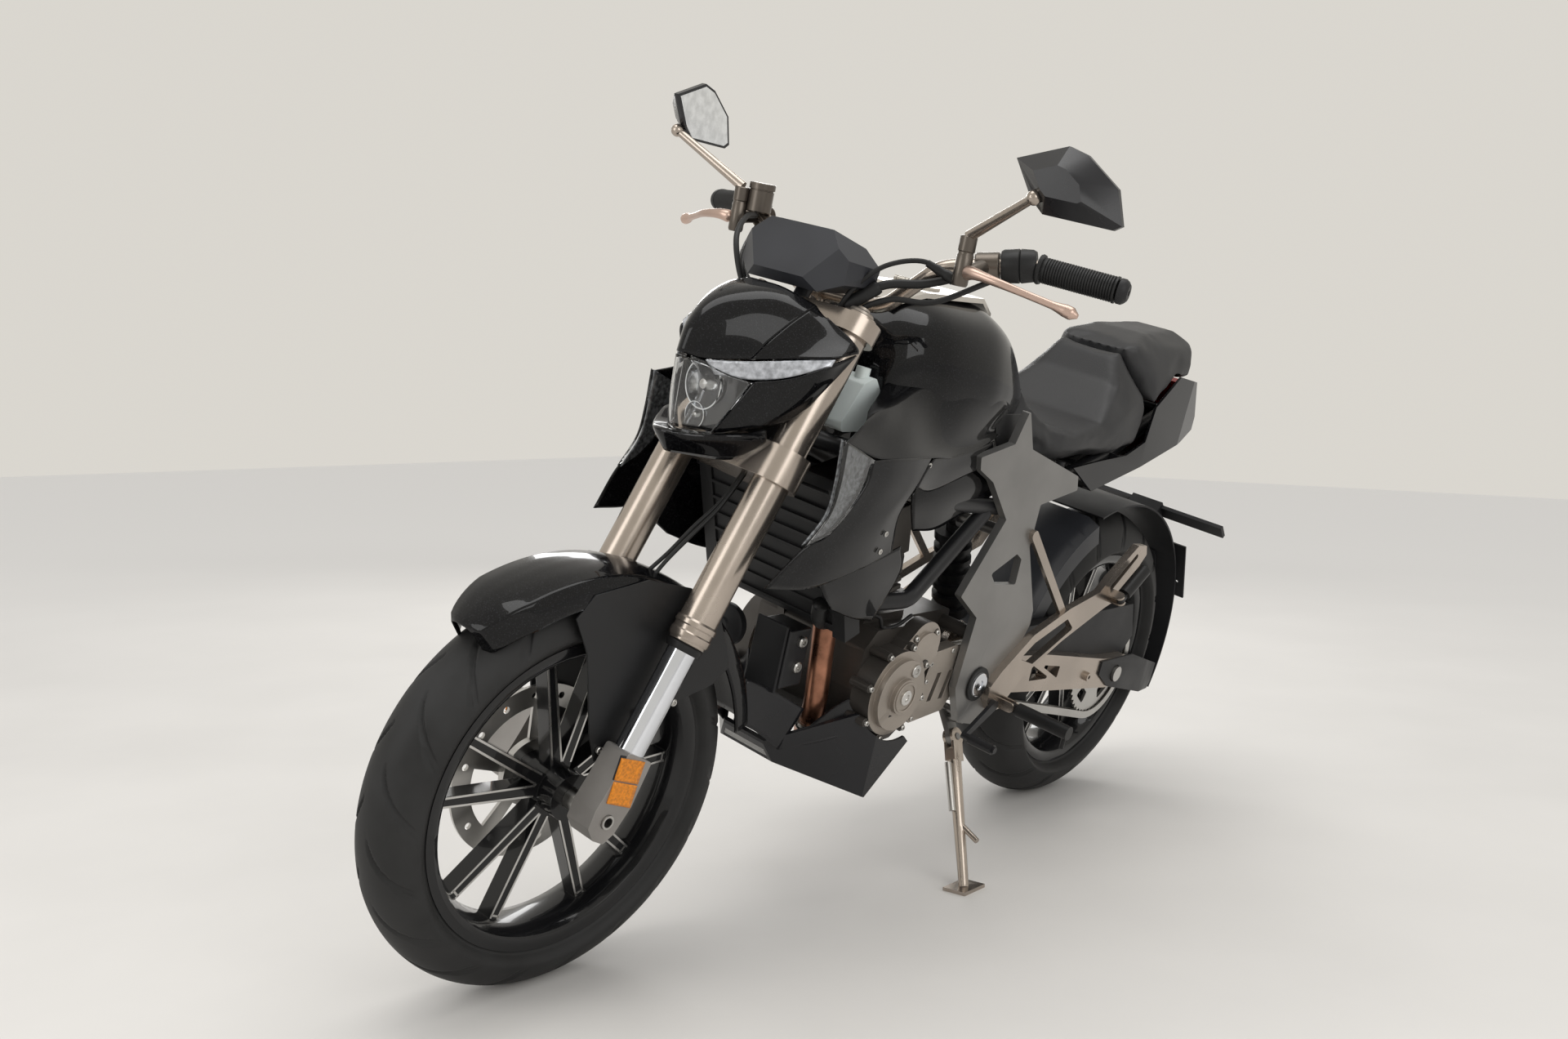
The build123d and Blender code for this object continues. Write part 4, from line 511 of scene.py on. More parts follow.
# %% Exact pieces with rounded edges
EASED = {
    "frame_plates": 3.0, "mirror_heads": 5.0, "dash": 3.0, "tail_cowl": 3.0, "belly_pan": 2.0, "swingarm": 2.5,
    "peg_brackets": 2.0, "fork_clamps": 2.0, "fork_feet": 2.0, "crankcase": 4.0, "engine_covers": 2.0, "cylinder": 3.0,
    "hugger": 1.2, "chain_guard": 1.0, "rear_mudguard": 1.2, "side_stand": 1.5, "tank_cover": 1.5, "tail_light": 1.5,
    "coolant_bottle": 6.0, "foot_controls": 1.2, "muffler": 4.0, "front_caliper": 2.5, "rear_caliper": 2.5,
    "rider_peg_left": 1.2, "rider_peg_right": 1.2, "pillion_peg_left": 1.2, "pillion_peg_right": 1.2, "fuel_cap": 0.8,
    "front_rim": 1.2, "rear_rim": 1.2, "radiator": 0.8, "shock": 1.0}


def eased(node, width):
    """Copy of a node with merged flat faces and a rounding of this width, in mm, on its edges."""
    import bmesh
    exact = frame["nodes"][node]
    work = bmesh.new()
    work.from_mesh(exact.data)
    bmesh.ops.remove_doubles(work, verts=work.verts, dist=2e-6)
    bmesh.ops.dissolve_limit(work, angle_limit=np.radians(0.4), verts=work.verts, edges=work.edges)
    bmesh.ops.recalc_face_normals(work, faces=work.faces)
    data = exact.data.copy()
    work.to_mesh(data)
    work.free()
    data.polygons.foreach_set("use_smooth", [True] * len(data.polygons))
    data.set_sharp_from_angle(angle=np.radians(32))
    piece = bpy.data.objects.new(f"{node}_eased", data)
    bpy.context.scene.collection.objects.link(piece)
    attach(piece, BODY_OF[node])
    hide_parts(node)
    edge = piece.modifiers.new("edge", "BEVEL")
    edge.width, edge.segments, edge.limit_method = width * MM, 2, "ANGLE"
    edge.angle_limit, edge.harden_normals = np.radians(32), True
    return piece


BODY_OF = {node: body for node, piece in frame["nodes"].items() for body, empty in frame["bodies"].items()
           if piece.parent == empty}
for node, width in EASED.items():
    eased(node, width)
# Painted shade: the walls of the engine covers near the case and towards the front, where shade falls, take the darker
# engine finish in place of the cover's own colour.
cover = bpy.data.objects["engine_covers_eased"]
cover.data.materials.append(ENGINE_SHADED)
count = len(cover.data.polygons)
facing, middle = np.zeros(count * 3), np.zeros(count * 3)
cover.data.polygons.foreach_get("normal", facing)
cover.data.polygons.foreach_get("center", middle)
is_wall = np.abs(facing.reshape(-1, 3) @ LEFT) < 0.5
from_hub = middle.reshape(-1, 3) - REAR_HUB
painted_shade_walls = is_wall & (np.abs(from_hub @ LEFT) < 0.141) & (from_hub @ AHEAD > 0.70)
cover.data.polygons.foreach_set("material_index", painted_shade_walls.astype(int))
print("cover walls in painted shade", int(painted_shade_walls.sum()), "of", count)

# %% [markdown]
# ## Tyres
#
# A tyre is a profile turned about the axle: side wall, shoulder and a round tread. The grooves
# are cut by lowering the radius wherever a point lies close to a groove's line. Modelled
# grooves catch the light at the edge of the tyre, where a bump map would lie flat.

# %% Tyres with curved grooves
def tread_depth(s, t, grooves, width, pitch, reach, sweep):
    """Depth of the grooves at s across and t along the tread, both in mm. A groove's line runs
    back by sweep times the root of its way across; the cut is a parabola of this width."""
    low, high = reach
    share = np.clip((np.abs(s) - low) / (high - low), 0, 1)
    line = sweep * share**0.55
    gap = np.abs((t - line + pitch / 2) % pitch - pitch / 2)
    cut = np.clip(1 - (gap / width) ** 2, 0, 1) ** 0.5
    ends = np.clip((np.abs(s) - low) / 7, 0, 1) * np.clip((high - np.abs(s)) / 16, 0, 1)
    return grooves * cut * ends


TYRE_STEPS = (84, 840)                 # across the section and round the wheel
EDGE_ANGLE = np.radians(80)            # of the tread's arc, from its middle to its edge
ARC_SHARE = 0.80                       # of the section's steps that lie on the tread
BEAD_RADIUS, INNER_RADIUS = 231.0, 219.0
MAIN_GROOVE = (5.0, 5.4)               # depth and half width
SIDE_GROOVE = (4.6, 4.6)


def tyre(name, radius, crown, rim_half, hub, axle, body, count, seed_shift):
    """Points of the tyre: angle round the axle by place across the section, from bead to bead."""
    across_steps, round_steps = TYRE_STEPS
    half = crown * EDGE_ANGLE
    bead_y = rim_half + 3.5
    s = np.linspace(-1.0, 1.0, across_steps)
    arc = np.clip(s / ARC_SHARE, -1, 1) * EDGE_ANGLE
    y = crown * np.sin(arc)
    r = radius - crown + crown * np.cos(arc)
    wall = np.clip((np.abs(s) - ARC_SHARE) / (1 - ARC_SHARE), 0, 1)
    y_wall = np.sign(s) * ((1 - wall) * crown * np.sin(EDGE_ANGLE) + wall * bead_y + 3.0 * np.sin(np.pi * wall))
    r_wall = (1 - wall) * (radius - crown + crown * np.cos(EDGE_ANGLE)) + wall * BEAD_RADIUS
    side = np.abs(s) > ARC_SHARE
    y, r = np.where(side, y_wall, y), np.where(side, r_wall, r)
    r = r + np.where(side, 0.9 * np.exp(-((wall - 0.55) / 0.03) ** 2), 0)
    turn = np.linspace(0, 2 * np.pi, round_steps, endpoint=False)
    place_across = np.clip(s / ARC_SHARE, -1.02, 1.02) * half
    S, T = np.meshgrid(place_across, turn * radius)
    pitch = 2 * np.pi * radius / count
    lower = np.zeros_like(S)
    for hand in (-1, 1):
        mask = S * hand > 0
        shift = T + (0 if hand > 0 else pitch * 0.5) + seed_shift
        cut = np.maximum(tread_depth(S, shift, *MAIN_GROOVE, pitch, (half * 0.10, half * 0.99), pitch * 0.95),
                         tread_depth(S, shift + pitch * 0.45, *SIDE_GROOVE, pitch, (half * 0.52, half * 1.0),
                                     pitch * 0.5))
        lower = np.where(mask, cut, lower)
    R = r[None, :] - np.where(side[None, :], 0, lower)
    u = unit(np.cross(axle, [0, 0, 1]))
    v = np.cross(axle, u)
    ring = np.cos(turn)[:, None] * u + np.sin(turn)[:, None] * v
    outer = hub + (R[..., None] * ring[:, None] + y[None, :, None] * axle) * MM
    inner_y = np.linspace(bead_y - 4, -(bead_y - 4), 6)
    inner = hub + (INNER_RADIUS * ring[:, None] + inner_y[None, :, None] * axle) * MM
    points = np.concatenate([outer, inner], axis=1)
    quads = grid_quads(round_steps, points.shape[1], wrap_rows=True, wrap_columns=True)
    piece = mesh_piece(name, points, quads, RUBBER_TYRE, body)
    face_out(piece)
    return piece


front_tread = tyre("front_tyre_treaded", FRONT_RADIUS, 57.0, 40.0, FRONT_HUB, FORK_LEFT, "front_wheel", 18, 0.0)
rear_tread = tyre("rear_tyre_treaded", REAR_RADIUS, 82.0, 56.0, REAR_HUB, LEFT, "rear_wheel", 17, 20.0)
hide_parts("front_tyre")
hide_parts("rear_tyre")
print("tyre faces", len(front_tread.data.polygons), len(rear_tread.data.polygons))

# %% [markdown]
# ## Wheels
#
# The castings are black, and a cutter has bared the edges of each spoke's face, so that a
# bright line runs round every leg. Thin strips along the legs' edges show that.

# %% Bright edges of the spokes
SPOKE_PAIRS, SPOKE_FACE = 5, 13.0
# Each end of a leg: radius, angle from the middle of its pair, half width.
SPOKE_ENDS = ((40, 12, 9.2), (196, 13.5, 7.6))
EDGE_WIDTH = 3.0
# The cap across a leg's outer end: its angle, and its corners as radius and way across.
CAP_ANGLE = 13.4
CAP_CORNERS = ((193, -7.6), (190, -7.6), (193, 7.6), (190, 7.6))


def spoke_edges(name, hub, axle, ahead, body):
    """For each leg and face, two strips from hub end to rim end, offset by the leg's half width,
    and a cap across the outer end."""
    u, v = ahead, np.cross(ahead, axle)
    strips = []
    for k in range(SPOKE_PAIRS):
        turn = np.radians(360 / SPOKE_PAIRS * k)
        spin = np.array([[np.cos(turn), np.sin(turn)], [-np.sin(turn), np.cos(turn)]])
        for hand in (-1, 1):
            for edge in (-1, 1):
                ends = []
                for radius, angle, half in SPOKE_ENDS:
                    a = np.radians(hand * angle)
                    mid = np.array([radius * np.sin(a), radius * np.cos(a)])
                    out = np.array([-np.cos(a), np.sin(a)])
                    ends.append(mid + out * edge * half)
                    ends.append(mid + out * edge * (half - EDGE_WIDTH))
                strips.append([spin @ e for e in ends])
            a = np.radians(hand * CAP_ANGLE)
            out, along = np.array([-np.cos(a), np.sin(a)]), np.array([np.sin(a), np.cos(a)])
            strips.append([spin @ (along * r + out * w) for r, w in CAP_CORNERS])
    flat = np.array(strips)
    points, quads = [], []
    for face in (-1, 1):
        for level in (SPOKE_FACE - 0.5, SPOKE_FACE + 0.7):
            place = hub + (flat[..., 0:1] * u + flat[..., 1:2] * v + face * level * axle) * MM
            points.append(place)
    points = np.array(points).transpose(1, 0, 2, 3).reshape(-1, 3)
    for strip in range(len(flat)):
        for face in (0, 1):
            o = strip * 16 + face * 8
            quads += [(o, o + 1, o + 3, o + 2), (o + 4, o + 6, o + 7, o + 5), (o, o + 4, o + 5, o + 1),
                      (o + 2, o + 3, o + 7, o + 6), (o, o + 2, o + 6, o + 4), (o + 1, o + 5, o + 7, o + 3)]
    piece = mesh_piece(name, points, quads, ALLOY_BRIGHT, body, smooth=False)
    face_out(piece)
    return piece


spoke_edges("front_spoke_edges", FRONT_HUB, FORK_LEFT, FORWARD, "front_wheel")
spoke_edges("rear_spoke_edges", REAR_HUB, LEFT, AHEAD, "rear_wheel")

# %% [markdown]
# ## Painted shells
#
# The tank, the headlight cowl and the front fender are pressed or moulded shells that curve both
# ways. Each one is drawn as a small table of points, a row for each line that a modeller would
# tape on the clay, and a smooth surface is passed through the table.

# %% Helpers for shells: place a grid, mirror it, cut a plate
def placed(grid, place=bike):
    return place(grid[..., 0], grid[..., 1], grid[..., 2])


def whole(table):
    """Half a table, its first column on the middle plane, and its mirror image."""
    half = np.asarray(table, float)
    other = half[:, :0:-1] * (1, -1, 1)
    return np.concatenate([other, half], axis=1)


def flipped(table):
    return np.asarray(table, float) * (1, -1, 1)


def plate(name, outline, y, material, body, wall=3.0, place=bike, towards_y=0.0):
    """Flat plate: a side-view outline (x, z) at y, with a wall towards the middle."""
    x, z = np.asarray(outline, float).T
    points = place(x, np.full_like(x, y), z)
    piece = mesh_piece(name, points, [tuple(range(len(x)))], material, body, smooth=False)
    facing = np.dot(np.array(piece.data.polygons[0].normal), place(0, y, 0) - place(0, towards_y, 0))
    if facing < 0:
        piece.data.flip_normals()
    shell = piece.modifiers.new("wall", "SOLIDIFY")
    shell.thickness, shell.offset = wall * MM, -1
    edge = piece.modifiers.new("edge", "BEVEL")
    edge.width, edge.segments, edge.limit_method = 0.8 * MM, 2, "ANGLE"
    return piece


# %% Fuel tank
# Columns: x, top z, then y and z of the cover's edge, the shoulder, the widest line and the foot.
TANK_STATIONS = np.array([
    (949, 952, 36, 951, 60, 936, 71, 896, 66, 820),
    (934, 984, 46, 981, 84, 956, 99, 904, 90, 818),
    (905, 1008, 56, 1004, 104, 972, 120, 908, 112, 818),
    (850, 1020, 62, 1017, 118, 984, 141, 912, 128, 818),
    (760, 1021, 62, 1017, 122, 984, 150, 906, 132, 818),
    (700, 1018, 58, 1014, 116, 978, 143, 898, 122, 818),
    (640, 998, 42, 994, 98, 962, 127, 888, 106, 818),
    (590, 962, 30, 958, 78, 930, 106, 880, 90, 820),
    (566, 930, 20, 927, 62, 906, 92, 872, 80, 828)], float)


def tank_rings(stations, rings, around):
    """Half sections as five points from the top to the foot, smoothed along the bike and round."""
    s = through(stations, rings)
    zero = np.zeros(len(s))
    half = np.stack([np.stack([zero, s[:, 1]], -1)] + [s[:, k:k + 2] for k in (2, 4, 6, 8)], 1)
    half = np.swapaxes(through(np.swapaxes(half, 0, 1), around), 0, 1)
    other = half[:, :0:-1] * (-1, 1)
    yz = np.concatenate([half, other[:, ::1]], axis=1)
    x = np.broadcast_to(s[:, 0:1, None], yz.shape[:2] + (1,))
    return np.concatenate([x, yz], axis=2)


tank = skin("tank_shell", placed(tank_rings(TANK_STATIONS, 64, 30)), GLOSS_BLACK, "chassis", sharp=50)
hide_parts("fuel_tank")
print("tank faces", len(tank.data.polygons))

# %% Headlight cowl, lamp and chin
# Rows run from the lamp's upper edge to the back of the hood, columns from the middle to the side.
HOOD = [
    [(1288, 0, 908), (1263, 30, 906), (1216, 64, 915)],
    [(1277, 0, 947), (1250, 35, 946), (1196, 72, 942)],
    [(1247, 0, 982), (1222, 38, 981), (1170, 78, 967)],
    [(1204, 0, 1004), (1186, 40, 1002), (1145, 81, 985)],
    [(1156, 0, 1014), (1150, 38, 1012), (1122, 76, 997)]]
BROW = [
    [(1216, 64, 915), (1176, 108, 928), (1142, 147, 939), (1100, 150, 946)],
    [(1196, 72, 942), (1162, 108, 941), (1134, 142, 946), (1100, 147, 953)],
    [(1170, 78, 967), (1146, 104, 958), (1126, 128, 957), (1107, 134, 965)],
    [(1145, 81, 985), (1132, 96, 976), (1120, 110, 972), (1114, 114, 976)],
    [(1122, 76, 997), (1120, 86, 989), (1118, 94, 984), (1117, 98, 984)]]
LAMP_STRIP = [
    [(1265, 29, 904), (1215, 66, 912), (1175, 109, 925), (1143, 148, 936)],
    [(1252, 37, 886), (1210, 71, 888), (1182, 109, 902), (1151, 149, 928)]]
FLANK = [
    [(1212, 72, 885), (1184, 110, 899), (1154, 147, 924), (1102, 149, 943)],
    [(1224, 58, 850), (1192, 92, 862), (1160, 124, 880), (1124, 142, 912)],
    [(1240, 40, 806), (1210, 68, 818), (1178, 86, 826), (1144, 102, 842)]]
GLASS = [
    [(1289, 0, 904), (1267, 27, 900), (1240, 50, 890), (1212, 71, 884)],
    [(1286, 0, 852), (1266, 28, 849), (1246, 44, 847), (1227, 57, 846)],
    [(1280, 0, 802), (1264, 22, 802), (1252, 33, 803), (1242, 40, 805)]]
CHIN = [
    [(1276, 0, 804), (1254, 32, 804), (1214, 74, 815), (1186, 88, 824)],
    [(1301, 0, 801), (1276, 40, 801), (1216, 85, 811), (1188, 92, 806)],
    [(1282, 0, 771), (1262, 22, 771), (1216, 52, 771), (1200, 70, 784)]]
BACKING = [
    [(1262, 0, 902), (1240, 26, 898), (1196, 62, 892), (1120, 100, 950)],
    [(1236, 0, 862), (1222, 24, 860), (1190, 54, 856), (1120, 100, 880)],
    [(1256, 0, 806), (1240, 20, 806), (1216, 40, 806), (1128, 88, 834)]]
INSIDE = steered(1130, 0, 900)
for hand, turn_over in (("left", np.asarray), ("right", flipped)):
    panel(f"cowl_brow_{hand}", placed(patch(turn_over(BROW), 22, 34), steered), GLOSS_BLACK, "steering", 3.0,
          towards=INSIDE)
hood = panel("headlight_cowl", placed(patch(whole(HOOD), 26, 66), steered), GLOSS_BLACK, "steering", 3.0,
             towards=INSIDE)
lamp_glass = panel("headlight_glass", placed(patch(whole(GLASS), 22, 34), steered), CLEAR, "steering", 2.0,
                   towards=INSIDE)
panel("headlight_chin", placed(patch(whole(CHIN), 14, 44), steered), GLOSS_BLACK, "steering", 3.0, sharp=25,
      towards=INSIDE)
panel("headlight_backing", placed(patch(whole(BACKING), 16, 30), steered), GLASS_DARK, "steering", 2.0, towards=INSIDE)
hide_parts("headlight_housing")
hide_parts("headlight_lens")
for hand, turn_over in (("left", np.asarray), ("right", flipped)):
    panel(f"lamp_strip_{hand}", placed(patch(turn_over(LAMP_STRIP), 8, 60), steered), LAMP_CLEAR, "steering",
          3.0, towards=INSIDE)
    panel(f"cowl_flank_{hand}", placed(patch(turn_over(FLANK), 16, 30), steered), GLOSS_BLACK, "steering", 3.0,
          towards=INSIDE)
BOWL = [(-22, 1.0), (-21, 12), (-14, 24), (-4, 31), (6, 34), (8, 34), (8, 36), (5, 36), (-6, 33), (-24, 14)]
for name, place_at, size in (("high_beam_bowl", (1238, 12, 868), 0.98), ("low_beam_bowl", (1244, 8, 824), 0.52)):
    turned(name, [(a * size, r * size) for a, r in BOWL], steered(*place_at), FORWARD, MIRROR_FINISH, "steering")
    turned(f"{name}_bulb", [(-16 * size, 1), (-15 * size, 9 * size), (2 * size, 10 * size),
                            (8 * size, 7 * size), (10 * size, 0.5)],
           steered(*place_at), FORWARD, STEEL, "steering", 32)

# %% Front fender
# Half section: distance from the middle plane and height over the tyre.
FENDER_SECTION = np.array([(0, 37), (28, 35.5), (49, 32), (54.5, 30.5), (57.5, 27), (62, 14), (66, -4)], float)
FENDER_TURN = (53.0, 168.0)


def fender_grid(rows, columns):
    """Each row is the section at one angle round the axle. Towards the front tip the section
    narrows with the root of the way from it, and dips."""
    theta = np.radians(np.linspace(*FENDER_TURN, rows))
    half = through(FENDER_SECTION, columns)
    y = np.concatenate([-half[:0:-1, 0], half[:, 0]])
    lift = np.concatenate([half[:0:-1, 1], half[:, 1]])
    way = (theta - theta[0]) / np.radians(13)
    narrow = np.clip(0.42 + 0.58 * np.sqrt(np.clip(way, 0, 1)), 0, 1)
    dip = 9 * (1 - np.clip(way, 0, 1)) ** 2
    r = FRONT_RADIUS + lift[None, :] - dip[:, None]
    x = WHEELBASE + r * np.cos(theta)[:, None]
    z = FRONT_RADIUS + r * np.sin(theta)[:, None]
    return np.stack(np.broadcast_arrays(x, y[None, :] * narrow[:, None], z), -1)


fender = panel("fender_blade", placed(fender_grid(72, 22), steered), GLOSS_BLACK, "steering", 3.5, sharp=32,
               towards=FRONT_HUB)
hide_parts("front_fender")
FENDER_SIDE = [(1447, 566), (1418, 514), (1390, 392), (1374, 354), (1336, 350), (1326, 371), (1273, 371), (1250, 420),
               (1172, 440), (1146, 462), (1150, 480), (1180, 540), (1249, 592), (1330, 610), (1420, 596)]
for hand in (-1, 1):
    name = "left" if hand > 0 else "right"
    plate(f"fender_side_{name}", FENDER_SIDE, hand * 66.2, SIDE_MATT, "steering", 3.4, steered)

# %% Side wings with their lamps
WING = [
    [(1081, 191, 811), (1022, 189, 812), (960, 180, 809), (893, 164, 805)],
    [(1094, 195, 772), (1034, 194, 772), (978, 187, 768), (942, 180, 768)],
    [(1148, 193, 708), (1086, 196, 716), (1026, 193, 722), (976, 184, 726)],
    [(1187, 188, 690), (1122, 193, 672), (1044, 189, 670), (966, 178, 682)],
    [(1234, 174, 632), (1152, 184, 628), (1052, 185, 645), (960, 176, 663)]]
TANK_SIDE = [
    [(1150, 190, 838), (1066, 190, 814), (980, 183, 809), (893, 168, 804), (812, 152, 797), (740, 140, 803),
     (690, 132, 815), (640, 122, 830)],
    [(1120, 180, 847), (1056, 177, 833), (974, 170, 828), (888, 154, 823), (806, 144, 820), (738, 136, 824),
     (690, 128, 832), (642, 118, 842)],
    [(1085, 166, 860), (1030, 157, 868), (960, 136, 880), (890, 132, 886), (806, 147, 884), (738, 147, 880),
     (690, 141, 876), (642, 125, 868)],
    [(1052, 142, 868), (1000, 116, 884), (940, 88, 897), (880, 121, 906), (800, 139, 906), (738, 141, 899),
     (690, 135, 891), (642, 119, 881)]]
ARM = [
    [(896, 167, 802), (830, 155, 800), (752, 142, 804), (676, 131, 815)],
    [(922, 174, 784), (856, 161, 776), (758, 146, 784), (668, 133, 797)],
    [(944, 181, 764), (880, 165, 750), (768, 147, 764), (660, 133, 782)]]
SIDE_COVER = [
    [(884, 134, 752), (800, 132, 776), (722, 128, 782), (640, 124, 784)],
    [(884, 142, 716), (800, 141, 726), (715, 135, 738), (622, 127, 752)],
    [(852, 132, 674), (790, 131, 672), (720, 127, 690), (610, 120, 722)]]
SEAT_SIDE = [(686, 858), (602, 858), (554, 755), (640, 758)]
LAMP = [
    [(1153, 190, 841), (1150, 192, 780), (1156, 192, 735), (1187, 188, 692)],
    [(1078, 191, 812), (1092, 194, 772), (1120, 195, 735), (1148, 194, 709)]]
VANE = [
    [(1132, 182, 638), (1030, 182, 652), (936, 174, 669)],
    [(1104, 180, 608), (1010, 178, 612), (916, 169, 624)],
    [(1070, 171, 582), (1006, 168, 560), (950, 162, 548)]]
MIDDLE = bike(1000, 0, 700)
for hand, turn_over in (("left", np.asarray), ("right", flipped)):
    wing = panel(f"wing_{hand}", placed(patch(turn_over(WING), 34, 34)), GLOSS_BLACK, "chassis", 3.0, towards=MIDDLE)
    panel(f"tank_side_{hand}", placed(patch(turn_over(TANK_SIDE), 30, 70)), GLOSS_BLACK, "chassis", 3.0, towards=MIDDLE)
    panel(f"wing_arm_{hand}", placed(patch(turn_over(ARM), 14, 26)), GLOSS_BLACK, "chassis", 3.0, towards=MIDDLE)
    panel(f"side_cover_{hand}", placed(patch(turn_over(SIDE_COVER), 16, 30)), GLOSS_BLACK, "chassis", 3.0,
          towards=MIDDLE)
    side = 126 if hand == "left" else -126
    plate(f"seat_side_{hand}", SEAT_SIDE, side, SIDE_MATT, "chassis")
    panel(f"vane_{hand}", placed(patch(turn_over(VANE), 20, 30)), GLOSS_BLACK, "chassis", 3.0, towards=MIDDLE)
    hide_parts(f"shroud_{hand}")
    inner = np.asarray(LAMP, float) - (0, 6, 0)
    panel(f"wing_lamp_back_{hand}", placed(patch(turn_over(inner), 8, 40)), LAMP_DARK, "chassis", 2.0, towards=MIDDLE)
    glass = panel(f"wing_lamp_{hand}", placed(patch(turn_over(LAMP), 8, 40)), CLEAR, "chassis", 2.0, towards=MIDDLE)
    if hand == "left":
        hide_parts("front_indicators")

# %% [markdown]
# ## Engine and fasteners
#
# The cases are cast, and their covers are held by a ring of small screws. A screw is a turned
# profile of four rings. The same profile is copied to every place in one array, so that a
# hundred screws are one mesh with few faces.

# %% Screws in one mesh
def screws(name, places, axis, material, body, radius=5.0, height=4.0, sides=10):
    """For each place, rings of (height, radius) about the axis: a wall, a round rim and a socket."""
    axis = unit(axis)
    u = unit(np.cross(axis, [0.31, 0.87, 0.4]))
    v = np.cross(axis, u)
    profile = np.array([(-1.0, 1.0), (0.7 * height, 1.0), (height, 0.78), (height, 0.42), (0.5 * height, 0.40),
                        (0.5 * height, 0.02)])
    turn = np.linspace(0, 2 * np.pi, sides, endpoint=False)
    ring = np.cos(turn)[:, None] * u + np.sin(turn)[:, None] * v
    one = (profile[:, 0, None, None] * axis + radius * profile[:, 1, None, None] * ring[None]) * MM
    points = np.asarray(places, float)[:, None, None, :] + one[None]
    cells = np.array(grid_quads(len(profile), sides, wrap_columns=True))
    quads = (np.arange(len(places))[:, None, None] * one.shape[0] * sides + cells[None]).reshape(-1, 4)
    piece = mesh_piece(name, points, quads, material, body, sharp=30)
    return piece


def ring_of(centre, radius, count, y, first=0.0):
    """Places on a circle round (x, z) in a side view, at this y."""
    a = np.radians(first) + np.arange(count) * 2 * np.pi / count
    return bike(centre[0] + radius * np.cos(a), y, centre[1] + radius * np.sin(a))


GENERATOR, SMALL_COVER, CLUTCH, PIVOT = (814, 403), (750, 463), (800, 396), (575, 384)
for name, centre, radius, count, y0, y1, first in (
        ("generator", GENERATOR, 78, 8, 112, 149, 14), ("small_cover", SMALL_COVER, 40, 4, 112, 140, 40)):
    for k, foot in enumerate(ring_of(centre, radius, count, y0, first)):
        turned(f"{name}_boss_{k}", [(0, 1), (0, 8), (y1 - y0 - 1, 7.4), (y1 - y0, 6.6), (y1 - y0, 0.5)], foot,
               LEFT, ENGINE_SHADED, "chassis", 20)
    screws(f"{name}_screws", ring_of(centre, radius, count, y1, first), LEFT, STEEL, "chassis", 5.0, 4.5)
screws("clutch_screws", ring_of(CLUTCH, 75, 9, -150, 10), -LEFT, STEEL, "chassis", 4.5, 3.5)
screws("sprocket_cover_screws", bike([730, 712, 614, 610, 652], 135, [338, 402, 398, 428, 450]), LEFT, STEEL,
       "chassis", 4.5, 3.5)
for name, centre, y, hand in (("generator", GENERATOR, 168, 1), ("clutch", CLUTCH, -158, -1)):
    turned(f"{name}_plug", [(-0.6, 1), (-0.6, 13), (2.2, 13), (3.0, 12), (3.0, 6.4), (1.0, 6.0), (1.0, 0.4)],
           bike(centre[0], y, centre[1]),
           LEFT * hand, ALLOY_BRIGHT if hand > 0 else COVER, "chassis", 36)
turned("generator_inner_ring", [(-1, 22), (1.2, 22), (1.8, 22.8), (1.8, 25.2), (1.2, 26), (-1, 26), (-1, 22)],
       bike(814, 168, 403), LEFT, COVER, "chassis", 64)
turned("generator_sight_plug", [(-1, 1), (-1, 11), (2, 11), (3, 10), (3, 5), (1.4, 4.6), (1.4, 0.4)],
       bike(790, 160, 442), LEFT, STEEL, "chassis", 30)
for hand in (-1, 1):
    side_name = "left" if hand > 0 else "right"
    y = 157 if hand > 0 else -156
    turned(f"pivot_washer_{side_name}", [(-2, 20), (-2, 31), (1, 31), (2, 30), (2, 22), (-1, 20)],
           bike(PIVOT[0], y - 2 * hand, PIVOT[1]), LEFT * hand, RUBBER, "chassis", 48)
    turned(f"pivot_cap_{side_name}", [(-1, 1), (-1, 21.5), (2.5, 21.5), (4, 19.5), (3.4, 12), (3.4, 9),
                                      (1.5, 8.6), (1.5, 0.4)], bike(PIVOT[0], y, PIVOT[1]),
           LEFT * hand, CHROME, "chassis", 48)


def block(name, x, y, z, material, body, edge=2.0, place=bike):
    """Box between two values of x, y and z, with rounded edges."""
    (x0, x1), (y0, y1), (z0, z1) = x, y, z
    ring = np.array([(x0, y0), (x1, y0), (x1, y1), (x0, y1)], float)
    points = np.stack([place(ring[:, 0], ring[:, 1], np.full(4, float(h))) for h in (z0, z1)])
    piece = skin(name, points, material, body, sharp=30)
    rim = piece.modifiers.new("edge", "BEVEL")
    rim.width, rim.segments, rim.limit_method = edge * MM, 3, "ANGLE"
    return piece


block("air_box", (610, 800), (-66, 66), (742, 806), PLASTIC, "chassis", 6.0)

# %% Power regulator, horn, hoses of the radiator and the pipe's collar
block("regulator_box", (952, 1004), (-4, 60), (402, 498), BLACK_METAL, "chassis", 3.0)
block("regulator_cover", (1004, 1010), (-6, 56), (394, 504), PLASTIC, "chassis", 2.0)
screws("regulator_bolts", bike([974, 974], 60, [478, 436]), LEFT, STEEL, "chassis", 9.0, 7.0, 24)
turned("horn", [(0, 2), (0, 30), (6, 34), (16, 34), (20, 30), (24, 14), (28, 12), (28, 0.5)],
       bike(1010, -52, 470), AHEAD, PLASTIC, "chassis", 48)
tube("coolant_hose_left", [(1006, 104, 560), (985, 92, 530), (950, 82, 520), (905, 74, 548), (880, 60, 590)],
     13, RUBBER, "chassis", sides=20)
tube("coolant_hose_right", [(1060, -112, 730), (1020, -104, 720), (960, -80, 690), (900, -40, 680)], 13, RUBBER,
     "chassis", sides=20)
tube("sensor_wire", [(905, 78, 500), (870, 92, 522), (845, 104, 520), (830, 106, 500), (800, 112, 504),
                     (772, 116, 520)], 3.2, RUBBER, "chassis", sides=10)
